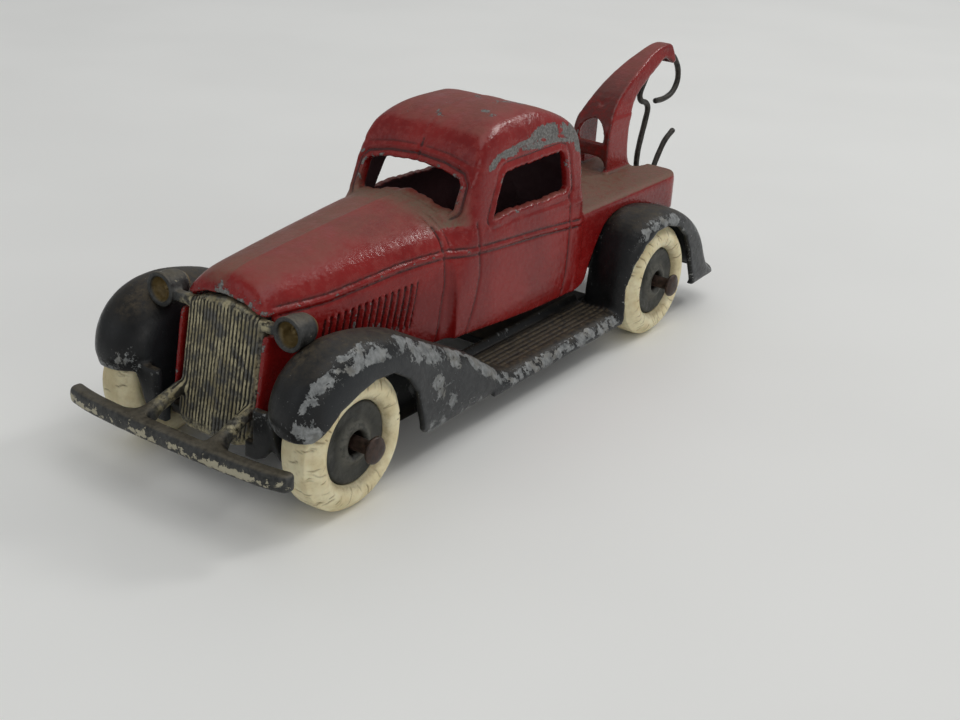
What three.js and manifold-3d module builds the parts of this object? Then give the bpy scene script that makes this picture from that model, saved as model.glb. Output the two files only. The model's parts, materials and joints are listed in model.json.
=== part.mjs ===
// A die-cast toy tow truck of the 1930s kind, about 100 mm long without its hook.
//
// It is an assembly of fourteen pieces: a hollow body casting with its derrick, a chassis casting with
// the fenders and running boards, a casting for the grille, headlamps and bumper, two nail axles, four
// hubs with four rubber tyres, and a wire tow hook. The axles run through lugs of all three castings.
//
// Millimetres. +X is forward, +Y is the truck's left and +Z is up. Places along X are given from a
// datum 31 mm ahead of the rear axle, and the whole group is then moved so that the origin lies under
// the middle of its bounding box, on the surface that the tyres stand on.

import * as THREE from 'three';
import { mergeVertices } from 'three/addons/utils/BufferGeometryUtils.js';
import Module from 'manifold-3d';

const wasm = await Module();
wasm.setup();

// ---- Driving dimensions ----

const ORIGIN_TO_DATUM = 7.1;          // from the origin forward to the datum of X
const FRONT_AXLE_X = 36;
const REAR_AXLE_X = -31;
const TYRE_RADIUS = 8.08;
const AXLE_Z = TYRE_RADIUS;

const WALL = 1.1;                     // wall of the body casting
const FENDER_WALL = 0.9;              // wall of the fenders
const GAP = 0.3;                      // between castings that rest on each other

const WHEEL_Y = 13.9;                 // middle of each tyre
const TYRE_HALF_WIDTH = 2.75;
const RIM_RADIUS = 4.9;               // hub disc, and the tyre's seat behind it
const SHANK_RADIUS = 0.85;            // axle
const BORE_RADIUS = 0.92;             // every hole that the axle runs in
const HEAD_RADIUS = 1.66;
const AXLE_HALF_LENGTH = 19.08;

const HOOK_WIRE_RADIUS = 0.45;
const HOOK_PIVOT = [-57.45, 34.78];   // X and Z of the hole in the derrick's nose

// ---- Building blocks ----

// A closed geometry as a solid that can be joined to others and cut by them.
function solidOf(geometry) {
  const bare = geometry.clone();
  bare.deleteAttribute('normal');
  bare.deleteAttribute('uv');
  const merged = mergeVertices(bare, 1e-4);
  return new wasm.Manifold(new wasm.Mesh({
    numProp: 3,
    vertProperties: new Float32Array(merged.attributes.position.array),
    triVerts: new Uint32Array(merged.index.array),
  }));
}

function geometryOf(solid) {
  const mesh = solid.getMesh();
  const geometry = new THREE.BufferGeometry();
  geometry.setAttribute('position', new THREE.BufferAttribute(new Float32Array(mesh.vertProperties), 3));
  geometry.setIndex(new THREE.BufferAttribute(new Uint32Array(mesh.triVerts), 1));
  return geometry;
}

function signedVolume(points, faces) {
  let volume = 0;
  for (const [a, b, c] of faces) {
    volume += points[a].dot(new THREE.Vector3().crossVectors(points[b], points[c])) / 6;
  }
  return volume;
}

// Joins closed loops of equal length, one after the other, and closes both ends.
// across(point) gives the two coordinates in which the end loops are flat outlines.
function loft(loops, across) {
  const count = loops[0].length;
  const points = loops.flat();
  const faces = [];
  for (let ring = 0; ring + 1 < loops.length; ring += 1) {
    for (let i = 0; i < count; i += 1) {
      const a = ring * count + i;
      const b = ring * count + (i + 1) % count;
      faces.push([a, b, b + count], [a, b + count, a + count]);
    }
  }
  for (const start of [0, points.length - count]) {
    const outline = points.slice(start, start + count).map((p) => new THREE.Vector2(...across(p)));
    const cap = THREE.ShapeUtils.triangulateShape(outline, []).map((face) => face.map((i) => i + start));
    faces.push(...facingOut(cap, faces, start));
  }
  const outward = signedVolume(points, faces) > 0 ? faces : faces.map(([a, b, c]) => [a, c, b]);
  const geometry = new THREE.BufferGeometry();
  geometry.setAttribute('position',
    new THREE.Float32BufferAttribute(points.flatMap((p) => p.toArray()), 3));
  geometry.setIndex(outward.flat());
  return solidOf(geometry);
}

// A cap's triangles run along the first edge of its loop the other way from the side faces.
function facingOut(cap, sides, start) {
  const runs = (faces) => faces.some((f) => f.some((v,
    i) => v === start && f[(i + 1) % 3] === start + 1));
  return runs(sides) === runs(cap) ? cap.map(([a, b, c]) => [a, c, b]) : cap;
}

const PLACE = {
  x: (along, u, v) => new THREE.Vector3(along, u, v),       // outline in Y and Z
  y: (along, u, v) => new THREE.Vector3(u, along, v),       // outline in X and Z
  z: (along, u, v) => new THREE.Vector3(u, v, along),       // outline in X and Y
};
const FLATTEN = { x: (p) => [p.y, p.z], y: (p) => [p.x, p.z], z: (p) => [p.x, p.y] };

// An outline swept straight along an axis.
function prism(axis, outline, from, to) {
  const loop = (along) => outline.map(([u, v]) => PLACE[axis](along, u, v));
  return loft([loop(from), loop(to)], FLATTEN[axis]);
}

function box(x0, x1, y0, y1, z0, z1) {
  return prism('z', [[x0, y0], [x1, y0], [x1, y1], [x0, y1]], z0, z1);
}

function joined(solids) {
  return solids.reduce((sum, solid) => sum.add(solid));
}

// A round bar or hole along Y.
function rodAlongY(x, z, radius, y0, y1) {
  const sides = 24;
  const turn = (i) => 2 * Math.PI * (i + 0.5) / sides;
  const outline = Array.from({ length: sides }, (_, i) => (
    [x + radius * Math.cos(turn(i)), z + radius * Math.sin(turn(i))]));
  return prism('y', outline, y0, y1);
}

// A smooth height or width through a few known places: through([[x, value], ...])(x).
function through(pairs) {
  const sorted = [...pairs].sort((a, b) => a[0] - b[0]);
  const spline = new THREE.CubicInterpolant(sorted.map((p) => p[0]), sorted.map((p) => p[1]), 1);
  const [low, high] = [sorted[0][0], sorted.at(-1)[0]];
  return (x) => spline.evaluate(THREE.MathUtils.clamp(x, low, high))[0];
}

// A smooth run of points through a few known ones.
function smooth(points, steps) {
  const curve = new THREE.SplineCurve(points.map(([u, v]) => new THREE.Vector2(u, v)));
  return curve.getSpacedPoints(steps).map((p) => [p.x, p.y]);
}

// Half an outline, from the middle line outwards and back, completed with its mirror image.
function mirrored(half) {
  const other = half.map(([u, v]) => [-u, v]).reverse();
  return [...half, ...other].filter(([u], i, all) => !(u === 0 && all[(i + 1) % all.length][0] === 0));
}

function stations(from, to, steps) {
  return Array.from({ length: steps + 1 }, (_, i) => THREE.MathUtils.lerp(from, to, i / steps));
}

// ---- Body casting: hood, cab, bed and derrick in one hollow shell, open below ----

const CAB_REAR_X = -18.4;
const BED_TOP_Z = 20.1;
const BED_REAR_X = -46.2;
const BODY_HALF_WIDTH = 10.5;

const hoodCrest = through([[42, 19.5], [40.6, 21.4], [39.3, 23.3], [38.4, 24.1], [37, 24.6],
  [34.5, 24.95], [29, 25.5], [22.5, 26.1], [17.4, 26.5], [14, 26.75], [8.2, 27.0], [2, 27.0]]);
const hoodHalfWidth = through([[42, 6.6], [36, 7.0], [32, 7.4], [22, 8.5], [12, 9.6], [5, 10.25],
  [2, 10.35]]);
const hoodShoulder = through([[42, 17.5], [35, 19], [10, 21], [2, 21]]);
const hoodLowerEdge = through([[42, 8.4], [30, 9.6], [13, 10.5], [2, 10.0]]);

// The hood's section is upright sides under half of a slightly squared ellipse.
function hoodSection(x, inset) {
  const side = hoodHalfWidth(x) - inset;
  const middle = hoodShoulder(x);
  const rise = hoodCrest(x) - inset - middle;
  const power = 2 / 2.3;
  const steps = 7;
  const half = [[0, 3 - inset], [side, 3 - inset]];
  for (let i = 0; i <= steps; i += 1) {
    const turn = (Math.PI / 2) * (i / steps);
    half.push([side * Math.cos(turn) ** power, middle + rise * Math.sin(turn) ** power]);
  }
  half[half.length - 1][0] = 0;
  return mirrored(half);
}

function hoodBlock(inset, front, rear) {
  const loops = stations(front, rear, 11).map((x) => (
    hoodSection(x, inset).map(([y, z]) => new THREE.Vector3(x, y, z))));
  return loft(loops, FLATTEN.x);
}

// Everything ahead of the raked nose.
function aheadOfNose() {
  return prism('y', [[38.9, 26], [39.35, 22.9], [39.6, 21.5], [41.9, 8.2], [42.2, 2], [60, 2],
    [60, 26]], -20, 20);
}

// Everything under the lower edge of the hood.
function underHood() {
  const edge = stations(43, 1, 6).map((x) => [x, hoodLowerEdge(x)]);
  return prism('y', [...edge, [1, 0], [43, 0]], -20, 20);
}

// The cab is what its side, front and plan outlines have in common.
function cabBlock(inset) {
  const roof = smooth([[6.3, 31.2], [5.5, 32.8], [3.6, 34.3], [0.5, 35.6], [-3, 36.4], [-6.5, 36.3],
    [-10, 35.6], [-13.5, 34.4], [-17, 32.6], [CAB_REAR_X, 30.2]], 14);
  const side = [[13, 9], [13, 23.5], [8.6, 25.4], [8.2, 26.2], [6.2, 30.0], ...roof, [CAB_REAR_X, 8.8]];
  const half = [[0, 3], [9.9, 3], [9.9, 8.5], [10.4, 12], [BODY_HALF_WIDTH, 15],
    [BODY_HALF_WIDTH, 19.5], [10.2, 22.5], [9.5, 29.3], [9.3, 31.3], [8.9, 32.9], [8, 34.5],
    [6.5, 35.7], [4, 36.25], [0, 36.4]];
  const corner = [[CAB_REAR_X, 8.2], [CAB_REAR_X + 0.7, 9.9], [CAB_REAR_X + 2.4, 10.7]];
  const cowl = [[2.5, 10.6], [5.2, 9.8], [6.9, 9.1], [8.1, 8.2], [13, 7.6]];
  const plan = [...corner, ...cowl, ...cowl.map(flipped).reverse(), ...corner.map(flipped).reverse()];
  const squeeze = (x) => x + (x > -5 ? -inset : inset);
  return prism('y', side.map(([x, z]) => [squeeze(x), z > 20 ? z - inset : z - 2 * inset]), -12, 12)
    .intersect(prism('x', mirrored(half.map(([y, z]) => [
      Math.max(0, y - inset), z > 30 ? z - inset : z - 2 * inset])), -30, 30))
    .intersect(prism('z', plan.map(([x, y]) => [squeeze(x), y - Math.sign(y) * inset]), 0, 50));
}

function flipped([x, y]) {
  return [x, -y];
}

function bedBlock(inset) {
  const shoulder = [[BODY_HALF_WIDTH, 18.6], [10.1, 19.6], [9.1, BED_TOP_Z]];
  const half = [[0, 3], [BODY_HALF_WIDTH, 3], ...shoulder, [0, BED_TOP_Z]];
  const tail = [[BED_REAR_X, 7.2], [BED_REAR_X + 0.9, 9.6], [BED_REAR_X + 2.6, 10.6]];
  const plan = [[0, 10.6], [0, -10.6], ...tail.map(flipped).reverse(), ...tail];
  return prism('x', mirrored(half.map(([y, z]) => [Math.max(0, y - inset), z - inset])), -50, 0)
    .intersect(prism('z', plan.map(([x, y]) => (
      [x + (x < -40 ? inset : -inset), y - Math.sign(y) * inset])), 0, 50));
}

// The lower edge of the cab and bed, which rises over the rear fenders.
function underCabAndBed() {
  const edge = [[13.2, 10.5], [2, 9.9], [-8, 9.1], [-16, 8.8], [-19.2, 9.2], [-20.7, 11.2],
    [-22.2, 13.9], [-24.2, 16.9], [-26.5, 18.4], [-29, 19.0], [-33, 18.7], [-38, 17.3], [-42, 15.9],
    [-45, 14.4], [-50, 14.0]];
  return prism('y', [...edge, [-50, 0], [13.2, 0]], -20, 20);
}

function windows() {
  const glass = [[0, 27.1], [2.8, 26.5], [4.6, 26.0], [7.3, 25.6], [7.1, 29.1], [5, 29.75], [0, 30.1]];
  const screen = prism('x', mirrored(glass), 3, 12);
  const sideGlass = [[2.9, 24.2], [0.3, 29.1], [-0.5, 29.35], [-12.9, 29.5], [-13.9, 28.9],
    [-14.4, 24.4], [-13.6, 24.0]];
  return screen.add(prism('y', sideGlass, -12, 12));
}

const NOSE_X = -57.9;                 // rear end of the derrick
const DERRICK_FRONT = [[-36.3, 19.4], [-36.3, 23], [-36.4, 26], [-37.5, 28.1], [-39.9, 30.5],
  [-43, 32.3], [-46.5, 33.95], [-49.5, 35.1], [-52.6, 36.0], [-55.4, 36.35], [-57.2, 36.2],
  [NOSE_X, 35.7]];
const DERRICK_REAR = [[NOSE_X, 33.5], [-57.3, 33.2], [-56.2, 33.9], [-53.9, 34.1], [-52.5, 33.6],
  [-49.7, 32.5], [-47.5, 31.5], [-46, 30.7], [-44.9, 29.9], [-43.8, 28.8], [-43, 27.6], [-42.5, 26],
  [-42.5, 22.4], [-43.3, 19.4]];

function derrick() {
  const plate = 0.9;
  const flange = 0.7;
  const widths = [[3.15, 19.4], [3.15, 26.8], [2.85, 28.3], [2.4, 30.6], [2.1, 32.6], [1.75, 34.3],
    [1.25, 35.6], [1.2, 37]];
  const front = (inset) => {
    const sides = widths.map(([y, z]) => [y - inset, z]);
    return prism('x', mirrored([[0, 19], ...sides, [0, 37]]), -60, -30);
  };
  const inside = DERRICK_FRONT.slice(0, 10).map(([x, z], i) => (
    i < 4 ? [x - plate, z - 0.2 * i] : [x - plate * 0.45, z - plate * 0.9]));
  const channel = prism('y', [...inside, [NOSE_X + 0.8, 35.4], [NOSE_X + 0.8, 31], [-50, 18],
    [-37.3, 18]], -5, 5);
  const opening = smooth([[-2.1, 24.4], [-2.2, 25.6], [-1.6, 27.2], [0, 27.8], [1.6, 27.2],
    [2.2, 25.6], [2.1, 24.4]], 8);
  const arch = [[-2.4, BED_TOP_Z], [-2.4, 21.4], [-1.4, 22.3], [1.4, 22.3], [2.4, 21.4],
    [2.4, BED_TOP_Z]];
  const [pivotX, pivotZ] = HOOK_PIVOT;
  const slot = [[-0.62, -0.75], [-0.35, -1], [0.35, -1], [0.62, -0.75], [0.62, 0.75], [0.35, 1],
    [-0.35, 1], [-0.62, 0.75]].map(([y, z]) => [y, pivotZ + z]);
  return prism('y', [...DERRICK_FRONT, ...DERRICK_REAR], -5, 5)
    .intersect(front(0))
    .subtract(channel.intersect(front(flange)))
    .subtract(prism('x', opening, -39, -33))
    .subtract(prism('x', arch, -39, -33))
    .subtract(prism('x', slot, pivotX - 1.2, pivotX + 1.2));
}

// Lugs inside the body, which an axle runs through.
function axleLugs(x, y0, y1, top) {
  const outline = [[x - 2.2, top], [x - 2.2, 7.2], [x - 1, 6.3], [x + 1, 6.3], [x + 2.2, 7.2],
    [x + 2.2, top]];
  return prism('y', outline, y0, y1).add(prism('y', outline, -y1, -y0));
}

function bodyCasting() {
  const notch = prism('z', [[-43.3, 3.2], [-43.9, 4.4], [-50, 5.2], [-50, -5.2], [-43.9, -4.4],
    [-43.3, -3.2]], 8, 25);
  const hood = hoodBlock(0, 42, 2).subtract(aheadOfNose()).subtract(underHood());
  const cabAndBed = joined([cabBlock(0), bedBlock(0)]).subtract(underCabAndBed());
  const hollow = joined([
    hoodBlock(WALL, 43, 1.9),
    cabBlock(WALL),
    bedBlock(WALL),
  ]);
  const grilleOpening = prism('x', mirrored([[0, 3], [5.95, 3], [5.95, 19.6], [5.45, 20.85],
    [3.1, 21.65], [0, 22.0]]), 36, 44);
  const lampNotches = box(38.3, 44, -8, 8, 19.0, 20.9);
  return joined([hood, cabAndBed])
    .subtract(hollow)
    .subtract(windows())
    .subtract(grilleOpening)
    .subtract(lampNotches)
    .subtract(notch)
    .add(derrick())
    .add(axleLugs(FRONT_AXLE_X, 5.4, 6.6, 17))
    .add(axleLugs(REAR_AXLE_X, 6.6, 7.8, BED_TOP_Z - 0.4))
    .subtract(rodAlongY(FRONT_AXLE_X, AXLE_Z, BORE_RADIUS, -9, 9))
    .subtract(rodAlongY(REAR_AXLE_X, AXLE_Z, BORE_RADIUS, -9, 9));
}

// ---- Chassis casting: four fenders, running boards, floor and cross-members ----

const INNER_WALL_Y = 9.3;             // fenders start here, just outside the hood

const frontCrest = through([[45.3, 11.6], [45.1, 13.4], [44.3, 16], [42.5, 18.3], [40, 19.6],
  [37, 20.1], [33.5, 19.9], [29.5, 18.9], [26, 17.4], [22, 15.3], [18, 13.3], [14, 11.2], [10, 8.6],
  [7, 6.7], [4.5, 5.7]]);
const frontSideY = through([[45.3, 15.6], [44.6, 16.9], [42, 17.5], [36, 17.6], [28, 17.2],
  [22, 16.6], [12, 16.1], [4.5, 15.8]]);
const rearCrest = through([[-21.5, 5.7], [-21.6, 9.5], [-22, 12.4], [-23.2, 15.3], [-25.3, 17.5],
  [-28.4, 18.6], [-32, 18.5], [-36, 17.6], [-40, 15.9], [-43, 13.9], [-45.2, 11.6], [-46.7, 9.2],
  [-48.4, 7], [-50.6, 4.9]]);
const rearSideY = through([[-21.5, 16.2], [-27, 16.9], [-34, 17.1], [-42, 16.7], [-50.6, 16.2]]);

// A fender's section, from the inner wall over the crown to the side.
// fall is how far the crown drops to each.
function fenderSection(x, crest, sideY, bottom, inset, fall) {
  const [innerDrop, outerDrop] = fall.map((drop) => Math.min(drop, (crest - bottom) * 0.55));
  const inner = INNER_WALL_Y + inset;
  const outer = sideY - inset;
  const top = crest - inset;
  const half = outer - inner;
  return [
    [inner, bottom], [inner, top - innerDrop], [inner + 0.20 * half, top - innerDrop * 0.55],
    [inner + 0.42 * half, top - innerDrop * 0.12], [inner + 0.60 * half, top],
    [inner + 0.78 * half, top - outerDrop * 0.14], [inner + 0.91 * half, top - outerDrop * 0.5],
    [outer, top - outerDrop], [outer, bottom],
  ].map(([y, z]) => new THREE.Vector3(x, y, Math.max(z, bottom)));
}

function fenderBlock(xs, crest, sideY, bottom, inset, fall) {
  return loft(xs.map((x) => fenderSection(x, crest(x), sideY(x), bottom, inset, fall)), FLATTEN.x);
}

const FRONT_FENDER_X = [45.3, 45.1, 44.5, 43.5, 42, 40, 37, 33.5, 29.5, 26, 22, 18, 14, 10, 7, 4.5];
const REAR_FENDER_X = [-21.5, -21.8, -22.4, -23.4, -25.3, -28.4, -32, -36, -40, -43.5, -46, -47.3,
  -48.6, -50.6];
const SKIRT_Z = 4.2;
const FRONT_FALL = [3.4, 3.4];
const REAR_FALL = [0.9, 2.8];

function frontFender() {
  const inside = FRONT_FENDER_X.filter((x) => x < 45 && x > 20).map((x) => x - 0.2);
  const archEdge = [[24.2, 3], [25.3, 6.2], [26.1, 9.6], [27.2, 12.2], [29.2, 14.0], [32, 15.1],
    [35, 15.2], [38.5, 14.4], [41.2, 12.6], [42.6, 11.2], [47, 10.6], [47, 3]];
  return fenderBlock(FRONT_FENDER_X, frontCrest, frontSideY, SKIRT_Z, 0, FRONT_FALL)
    .subtract(fenderBlock(inside, frontCrest, frontSideY, 2, FENDER_WALL, FRONT_FALL))
    .subtract(prism('y', archEdge, INNER_WALL_Y + FENDER_WALL, 20))
    .subtract(prism('y', [[47, 3], [47, 10.4], [43.2, 9.6], [42.4, 7.5], [41.5, 5.6], [33, 5.4],
      [28, 4.6], [26, 3]], 8, 11));
}

function rearFender() {
  const inside = REAR_FENDER_X.filter((x) => x < -22.3 && x > -47)
    .map((x) => x + (x < -36 ? 0.7 : -0.5));
  const archEdge = [[-22.5, 3], [-22.5, 9.6], [-23.6, 12.6], [-25.6, 14.9], [-28.4, 16.2],
    [-31.6, 16.4], [-35, 15.4], [-37.8, 13.3], [-39.6, 10.4], [-40.8, 7], [-42.4, 3]];
  return fenderBlock(REAR_FENDER_X, rearCrest, rearSideY, SKIRT_Z, 0, REAR_FALL)
    .subtract(fenderBlock(inside, rearCrest, rearSideY, 2, FENDER_WALL, REAR_FALL))
    .subtract(prism('y', archEdge, INNER_WALL_Y + FENDER_WALL, 20));
}

// The board's outer edge rolls down, and a low rib stands along its inner edge.
function runningBoard() {
  const section = [[7.0, 5.0], [7.0, 6.6], [8.3, 6.6], [8.6, 5.8], [13.8, 5.7], [15.1, 5.3],
    [15.8, SKIRT_Z], [14.9, SKIRT_Z], [14.2, 4.7], [8.0, 4.7]];
  return prism('x', section, -22, 8);
}

function chassisCasting() {
  const frontSill = box(7, 29, 7.6, INNER_WALL_Y + 0.4, 4.7, 6.4);
  const floorPan = box(-26, -2, 0, 8, SKIRT_Z, 5.4);
  const frontCrossMember = box(33, 39, 0, INNER_WALL_Y + 0.4, 4.7, 6.0);
  const rearCrossBar = box(-46.5, -43.5, 0, INNER_WALL_Y + 0.4, 4.3, 5.8);
  const half = joined([frontFender(), rearFender(), runningBoard(), frontApron(), frontSill,
    floorPan, frontCrossMember, rearCrossBar])
    .subtract(rodAlongY(FRONT_AXLE_X, AXLE_Z, BORE_RADIUS, 0, 11))
    .subtract(rodAlongY(REAR_AXLE_X, AXLE_Z, BORE_RADIUS, 0, 11));
  return half.add(mirroredAcrossY(half));
}

// A short plate beside the grille, which closes the front of the fender down to its inner corner.
function frontApron() {
  const plan = [[43.1, 6.1], [43.4, 8.6], [43.2, 10.4], [42.2, 10.4], [42.4, 8.4], [42.1, 6.1]];
  const front = [[6.1, 5.9], [7.6, 6.0], [8.8, 6.5], [9.6, 7.6], [10.4, 9.2], [10.4, 12], [7.3, 12],
    [7.3, 8.0], [6.1, 8.0]];
  return prism('z', plan, 3, 14).intersect(prism('x', front, 40, 46));
}

function mirroredAcrossY(solid) {
  const geometry = geometryOf(solid);
  geometry.scale(1, -1, 1);
  const index = geometry.index.array;
  for (let i = 0; i < index.length; i += 3) [index[i + 1], index[i + 2]] = [index[i + 2], index[i + 1]];
  return solidOf(geometry);
}

// ---- Grille casting: grille, headlamps and bumper, held by an eye on the front axle ----

function headlamp(y) {
  const shell = [[0, -4.1], [1.0, -3.9], [1.75, -2.9], [1.98, -1.4], [2.0, 0], [1.45, 0.05],
    [1.35, -0.9], [0.8, -2.0], [0, -2.3]].map(([r, x]) => new THREE.Vector2(r, x));
  const geometry = new THREE.LatheGeometry(shell, 16);
  geometry.rotateZ(-Math.PI / 2);
  geometry.translate(40.1, y, 20.3);
  return solidOf(geometry);
}

function grillePlate() {
  const front = [[39.75, 21.6], [40.3, 18.2], [41.3, 12.5], [42.5, 6.2]];
  const side = [...front, [41.3, 6.0], [40.1, 12.3], [39.1, 18], [38.5, 21.6]];
  const outline = [[0, 5.9], [4, 6.0], [5.5, 6.9], [5.65, 8], [5.65, 19.4], [5.2, 20.5], [3, 21.3],
    [0, 21.7]];
  return prism('y', side, -7, 7).intersect(prism('x', mirrored(outline), 36, 45));
}

function bumper() {
  const front = (y) => 49.1 - 0.6 * (Math.abs(y) / 13) ** 3;
  const loops = stations(-16.8, 16.8, 14).map((y) => {
    const end = Math.abs(y) > 16 ? 0.55 : 1;
    const [mid, deep, tall] = [front(y) - 0.75, 0.75 * end, 1.07 * end];
    return [[-1, -0.7], [-0.7, -1], [0.75, -1], [1, -0.6], [1, 0.6], [0.7, 1], [-0.7, 1], [-1, 0.7]]
      .map(([u, v]) => new THREE.Vector3(mid + u * deep, y, 7.9 + v * tall));
  });
  return loft(loops, FLATTEN.y);
}

function bumperArm() {
  const plan = [[41.4, 4.3], [43.6, 3.9], [47.4, 3.2], [48, 3.2], [48, 8.2], [47.2, 7.6],
    [45.2, 6.3], [43.2, 5.65], [41.4, 5.65]];
  const side = [[41.2, 7.9], [41.2, 10.6], [43.4, 9.6], [46, 8.6], [48.6, 8.4], [48.6, 7.4],
    [45, 7.4], [43, 7.2]];
  return prism('z', plan, 5, 12).intersect(prism('y', side, 2, 10));
}

function grilleBumperCasting() {
  const lampBracket = box(38.6, 39.7, 5.2, 8.4, 19.3, 20.6);
  const tongue = box(37.4, 41.8, -1.4, 1.4, 7.4, 8.8);
  const eye = rodAlongY(FRONT_AXLE_X, AXLE_Z, 1.9, -1.4, 1.4);
  const oneSide = joined([bumperArm(), lampBracket]);
  return joined([grillePlate(), bumper(), tongue, eye, oneSide, mirroredAcrossY(oneSide), headlamp(9.6),
    headlamp(-9.6)])
    .subtract(rodAlongY(FRONT_AXLE_X, AXLE_Z, BORE_RADIUS, -3, 3));
}

// ---- Running gear ----

// Turned about Y from a profile of radius and height.
function turned(profile, sides) {
  const geometry = new THREE.LatheGeometry(profile.map(([r, h]) => new THREE.Vector2(r, h)), sides);
  return solidOf(geometry);
}

// The nail head is at the left, and the right end is peened over to the same size.
function axle() {
  const head = (s) => [[0, s * AXLE_HALF_LENGTH], [1.0, s * (AXLE_HALF_LENGTH - 0.05)],
    [HEAD_RADIUS, s * (AXLE_HALF_LENGTH - 0.4)], [HEAD_RADIUS, s * (AXLE_HALF_LENGTH - 0.8)],
    [SHANK_RADIUS, s * (AXLE_HALF_LENGTH - 0.9)]];
  return turned([...head(-1), ...head(1).reverse()], 24);
}

// Heights here are from the wheel's middle outwards.
function hub() {
  return turned([[BORE_RADIUS, -2.6], [2.3, -2.6], [2.3, -1.4], [RIM_RADIUS - 0.3, -1.4],
    [RIM_RADIUS, -1.1], [RIM_RADIUS, 1.3], [RIM_RADIUS - 0.2, 1.75], [RIM_RADIUS - 0.9, 1.7],
    [RIM_RADIUS - 1.7, 1.35], [2.4, 1.4], [1.9, 2.4], [1.5, 2.75], [BORE_RADIUS, 2.75],
    [BORE_RADIUS, -2.6]], 20);
}

function tyre() {
  const seat = RIM_RADIUS + 0.02;
  const side = TYRE_HALF_WIDTH;
  return turned([[seat, -side + 0.75], [5.5, -side + 0.15], [6.2, -side], [7.0, -side + 0.4],
    [7.7, -side + 1.15], [TYRE_RADIUS, -0.9], [TYRE_RADIUS, 0.9], [7.7, side - 1.15],
    [7.0, side - 0.4], [6.2, side], [5.5, side - 0.15], [seat, side - 0.75], [seat, -side + 0.75]], 32);
}

// ---- Tow hook ----

const HOOK_ROUTE = [[-55.3, 27.3], [-58.5, 27.2], [-61.1, 27.8], [-62.5, 29.4], [-62.3, 31.3],
  [-61, 33], [-59.3, 34.2], HOOK_PIVOT, [-55.6, 34.3], [-53.3, 32.9], [-51.4, 31], [-50.4, 29.2],
  [-51, 28.1], [-52.6, 27.5], [-53.4, 26.4], [-52.9, 24.4], [-52.1, 22], [-51.5, 19.6],
  [-51.6, 17.2], [-53, 15.5], [-55.2, 15.1], [-57.1, 16], [-58.5, 17.9], [-60.4, 20], [-63.1, 21.4]];

function towHook() {
  const route = new THREE.CatmullRomCurve3(HOOK_ROUTE.map(([x, z]) => new THREE.Vector3(x, 0, z)));
  const wire = new THREE.Shape();
  wire.absarc(0, 0, HOOK_WIRE_RADIUS, 0, 2 * Math.PI);
  return new THREE.ExtrudeGeometry(wire, { steps: 50, curveSegments: 5, extrudePath: route });
}

// ---- The assembly ----

const ENAMEL = { roughness: 0.35, metalness: 0.1 };
const LOOKS = {
  red_enamel: new THREE.MeshStandardMaterial({ color: 0x7a1518, ...ENAMEL }),
  black_enamel: new THREE.MeshStandardMaterial({ color: 0x2c2e2f, ...ENAMEL }),
  tarnished_plate: new THREE.MeshStandardMaterial({ color: 0x8b8468, roughness: 0.5, metalness: 0.8 }),
  hub_metal: new THREE.MeshStandardMaterial({ color: 0x4b4b48, roughness: 0.55, metalness: 0.6 }),
  white_rubber: new THREE.MeshStandardMaterial({ color: 0xd9cfae, roughness: 0.8, metalness: 0 }),
  axle_steel: new THREE.MeshStandardMaterial({ color: 0x5a4a40, roughness: 0.6, metalness: 0.7 }),
  hook_steel: new THREE.MeshStandardMaterial({ color: 0x45453f, roughness: 0.4, metalness: 0.9 }),
};

const group = new THREE.Group();
group.position.x = ORIGIN_TO_DATUM;

function addPiece(name, geometry, look, place = [0, 0, 0], turn = 0) {
  const mesh = new THREE.Mesh(geometry, LOOKS[look]);
  mesh.name = name;
  mesh.position.set(...place);
  mesh.rotation.x = turn;
  group.add(mesh);
}

addPiece('body_casting', geometryOf(bodyCasting()), 'red_enamel');
addPiece('chassis_casting', geometryOf(chassisCasting()), 'black_enamel');
addPiece('grille_bumper_casting', geometryOf(grilleBumperCasting()), 'tarnished_plate');
for (const [end, x] of [['front', FRONT_AXLE_X], ['rear', REAR_AXLE_X]]) {
  addPiece(`${end}_axle`, geometryOf(axle()), 'axle_steel', [x, 0, AXLE_Z]);
  for (const [hand, sign] of [['left', 1], ['right', -1]]) {
    const place = [x, sign * WHEEL_Y, AXLE_Z];
    const turn = sign > 0 ? 0 : Math.PI;
    addPiece(`${end}_${hand}_hub`, geometryOf(hub()), 'hub_metal', place, turn);
    addPiece(`${end}_${hand}_tyre`, geometryOf(tyre()), 'white_rubber', place, turn);
  }
}
addPiece('tow_hook', towHook(), 'hook_steel');

export default group;
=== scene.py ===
"""An aged die-cast toy tow truck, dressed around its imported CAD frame.

The three castings are modelled as fields of signed distance on a grid of points, which gives them the rounded
edges, fillets and pressed-in lines of a casting, and each field is then skinned with quads. Tyres, hubs, axles
and the wire hook are swept or turned. Lengths are in millimetres until a mesh is made. Places along X are from
the drawing's datum, 36 mm behind the front axle, and the frame says where that is.
"""
import json
import math

import bpy
import numpy as np
from mathutils import Matrix, Vector

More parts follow.
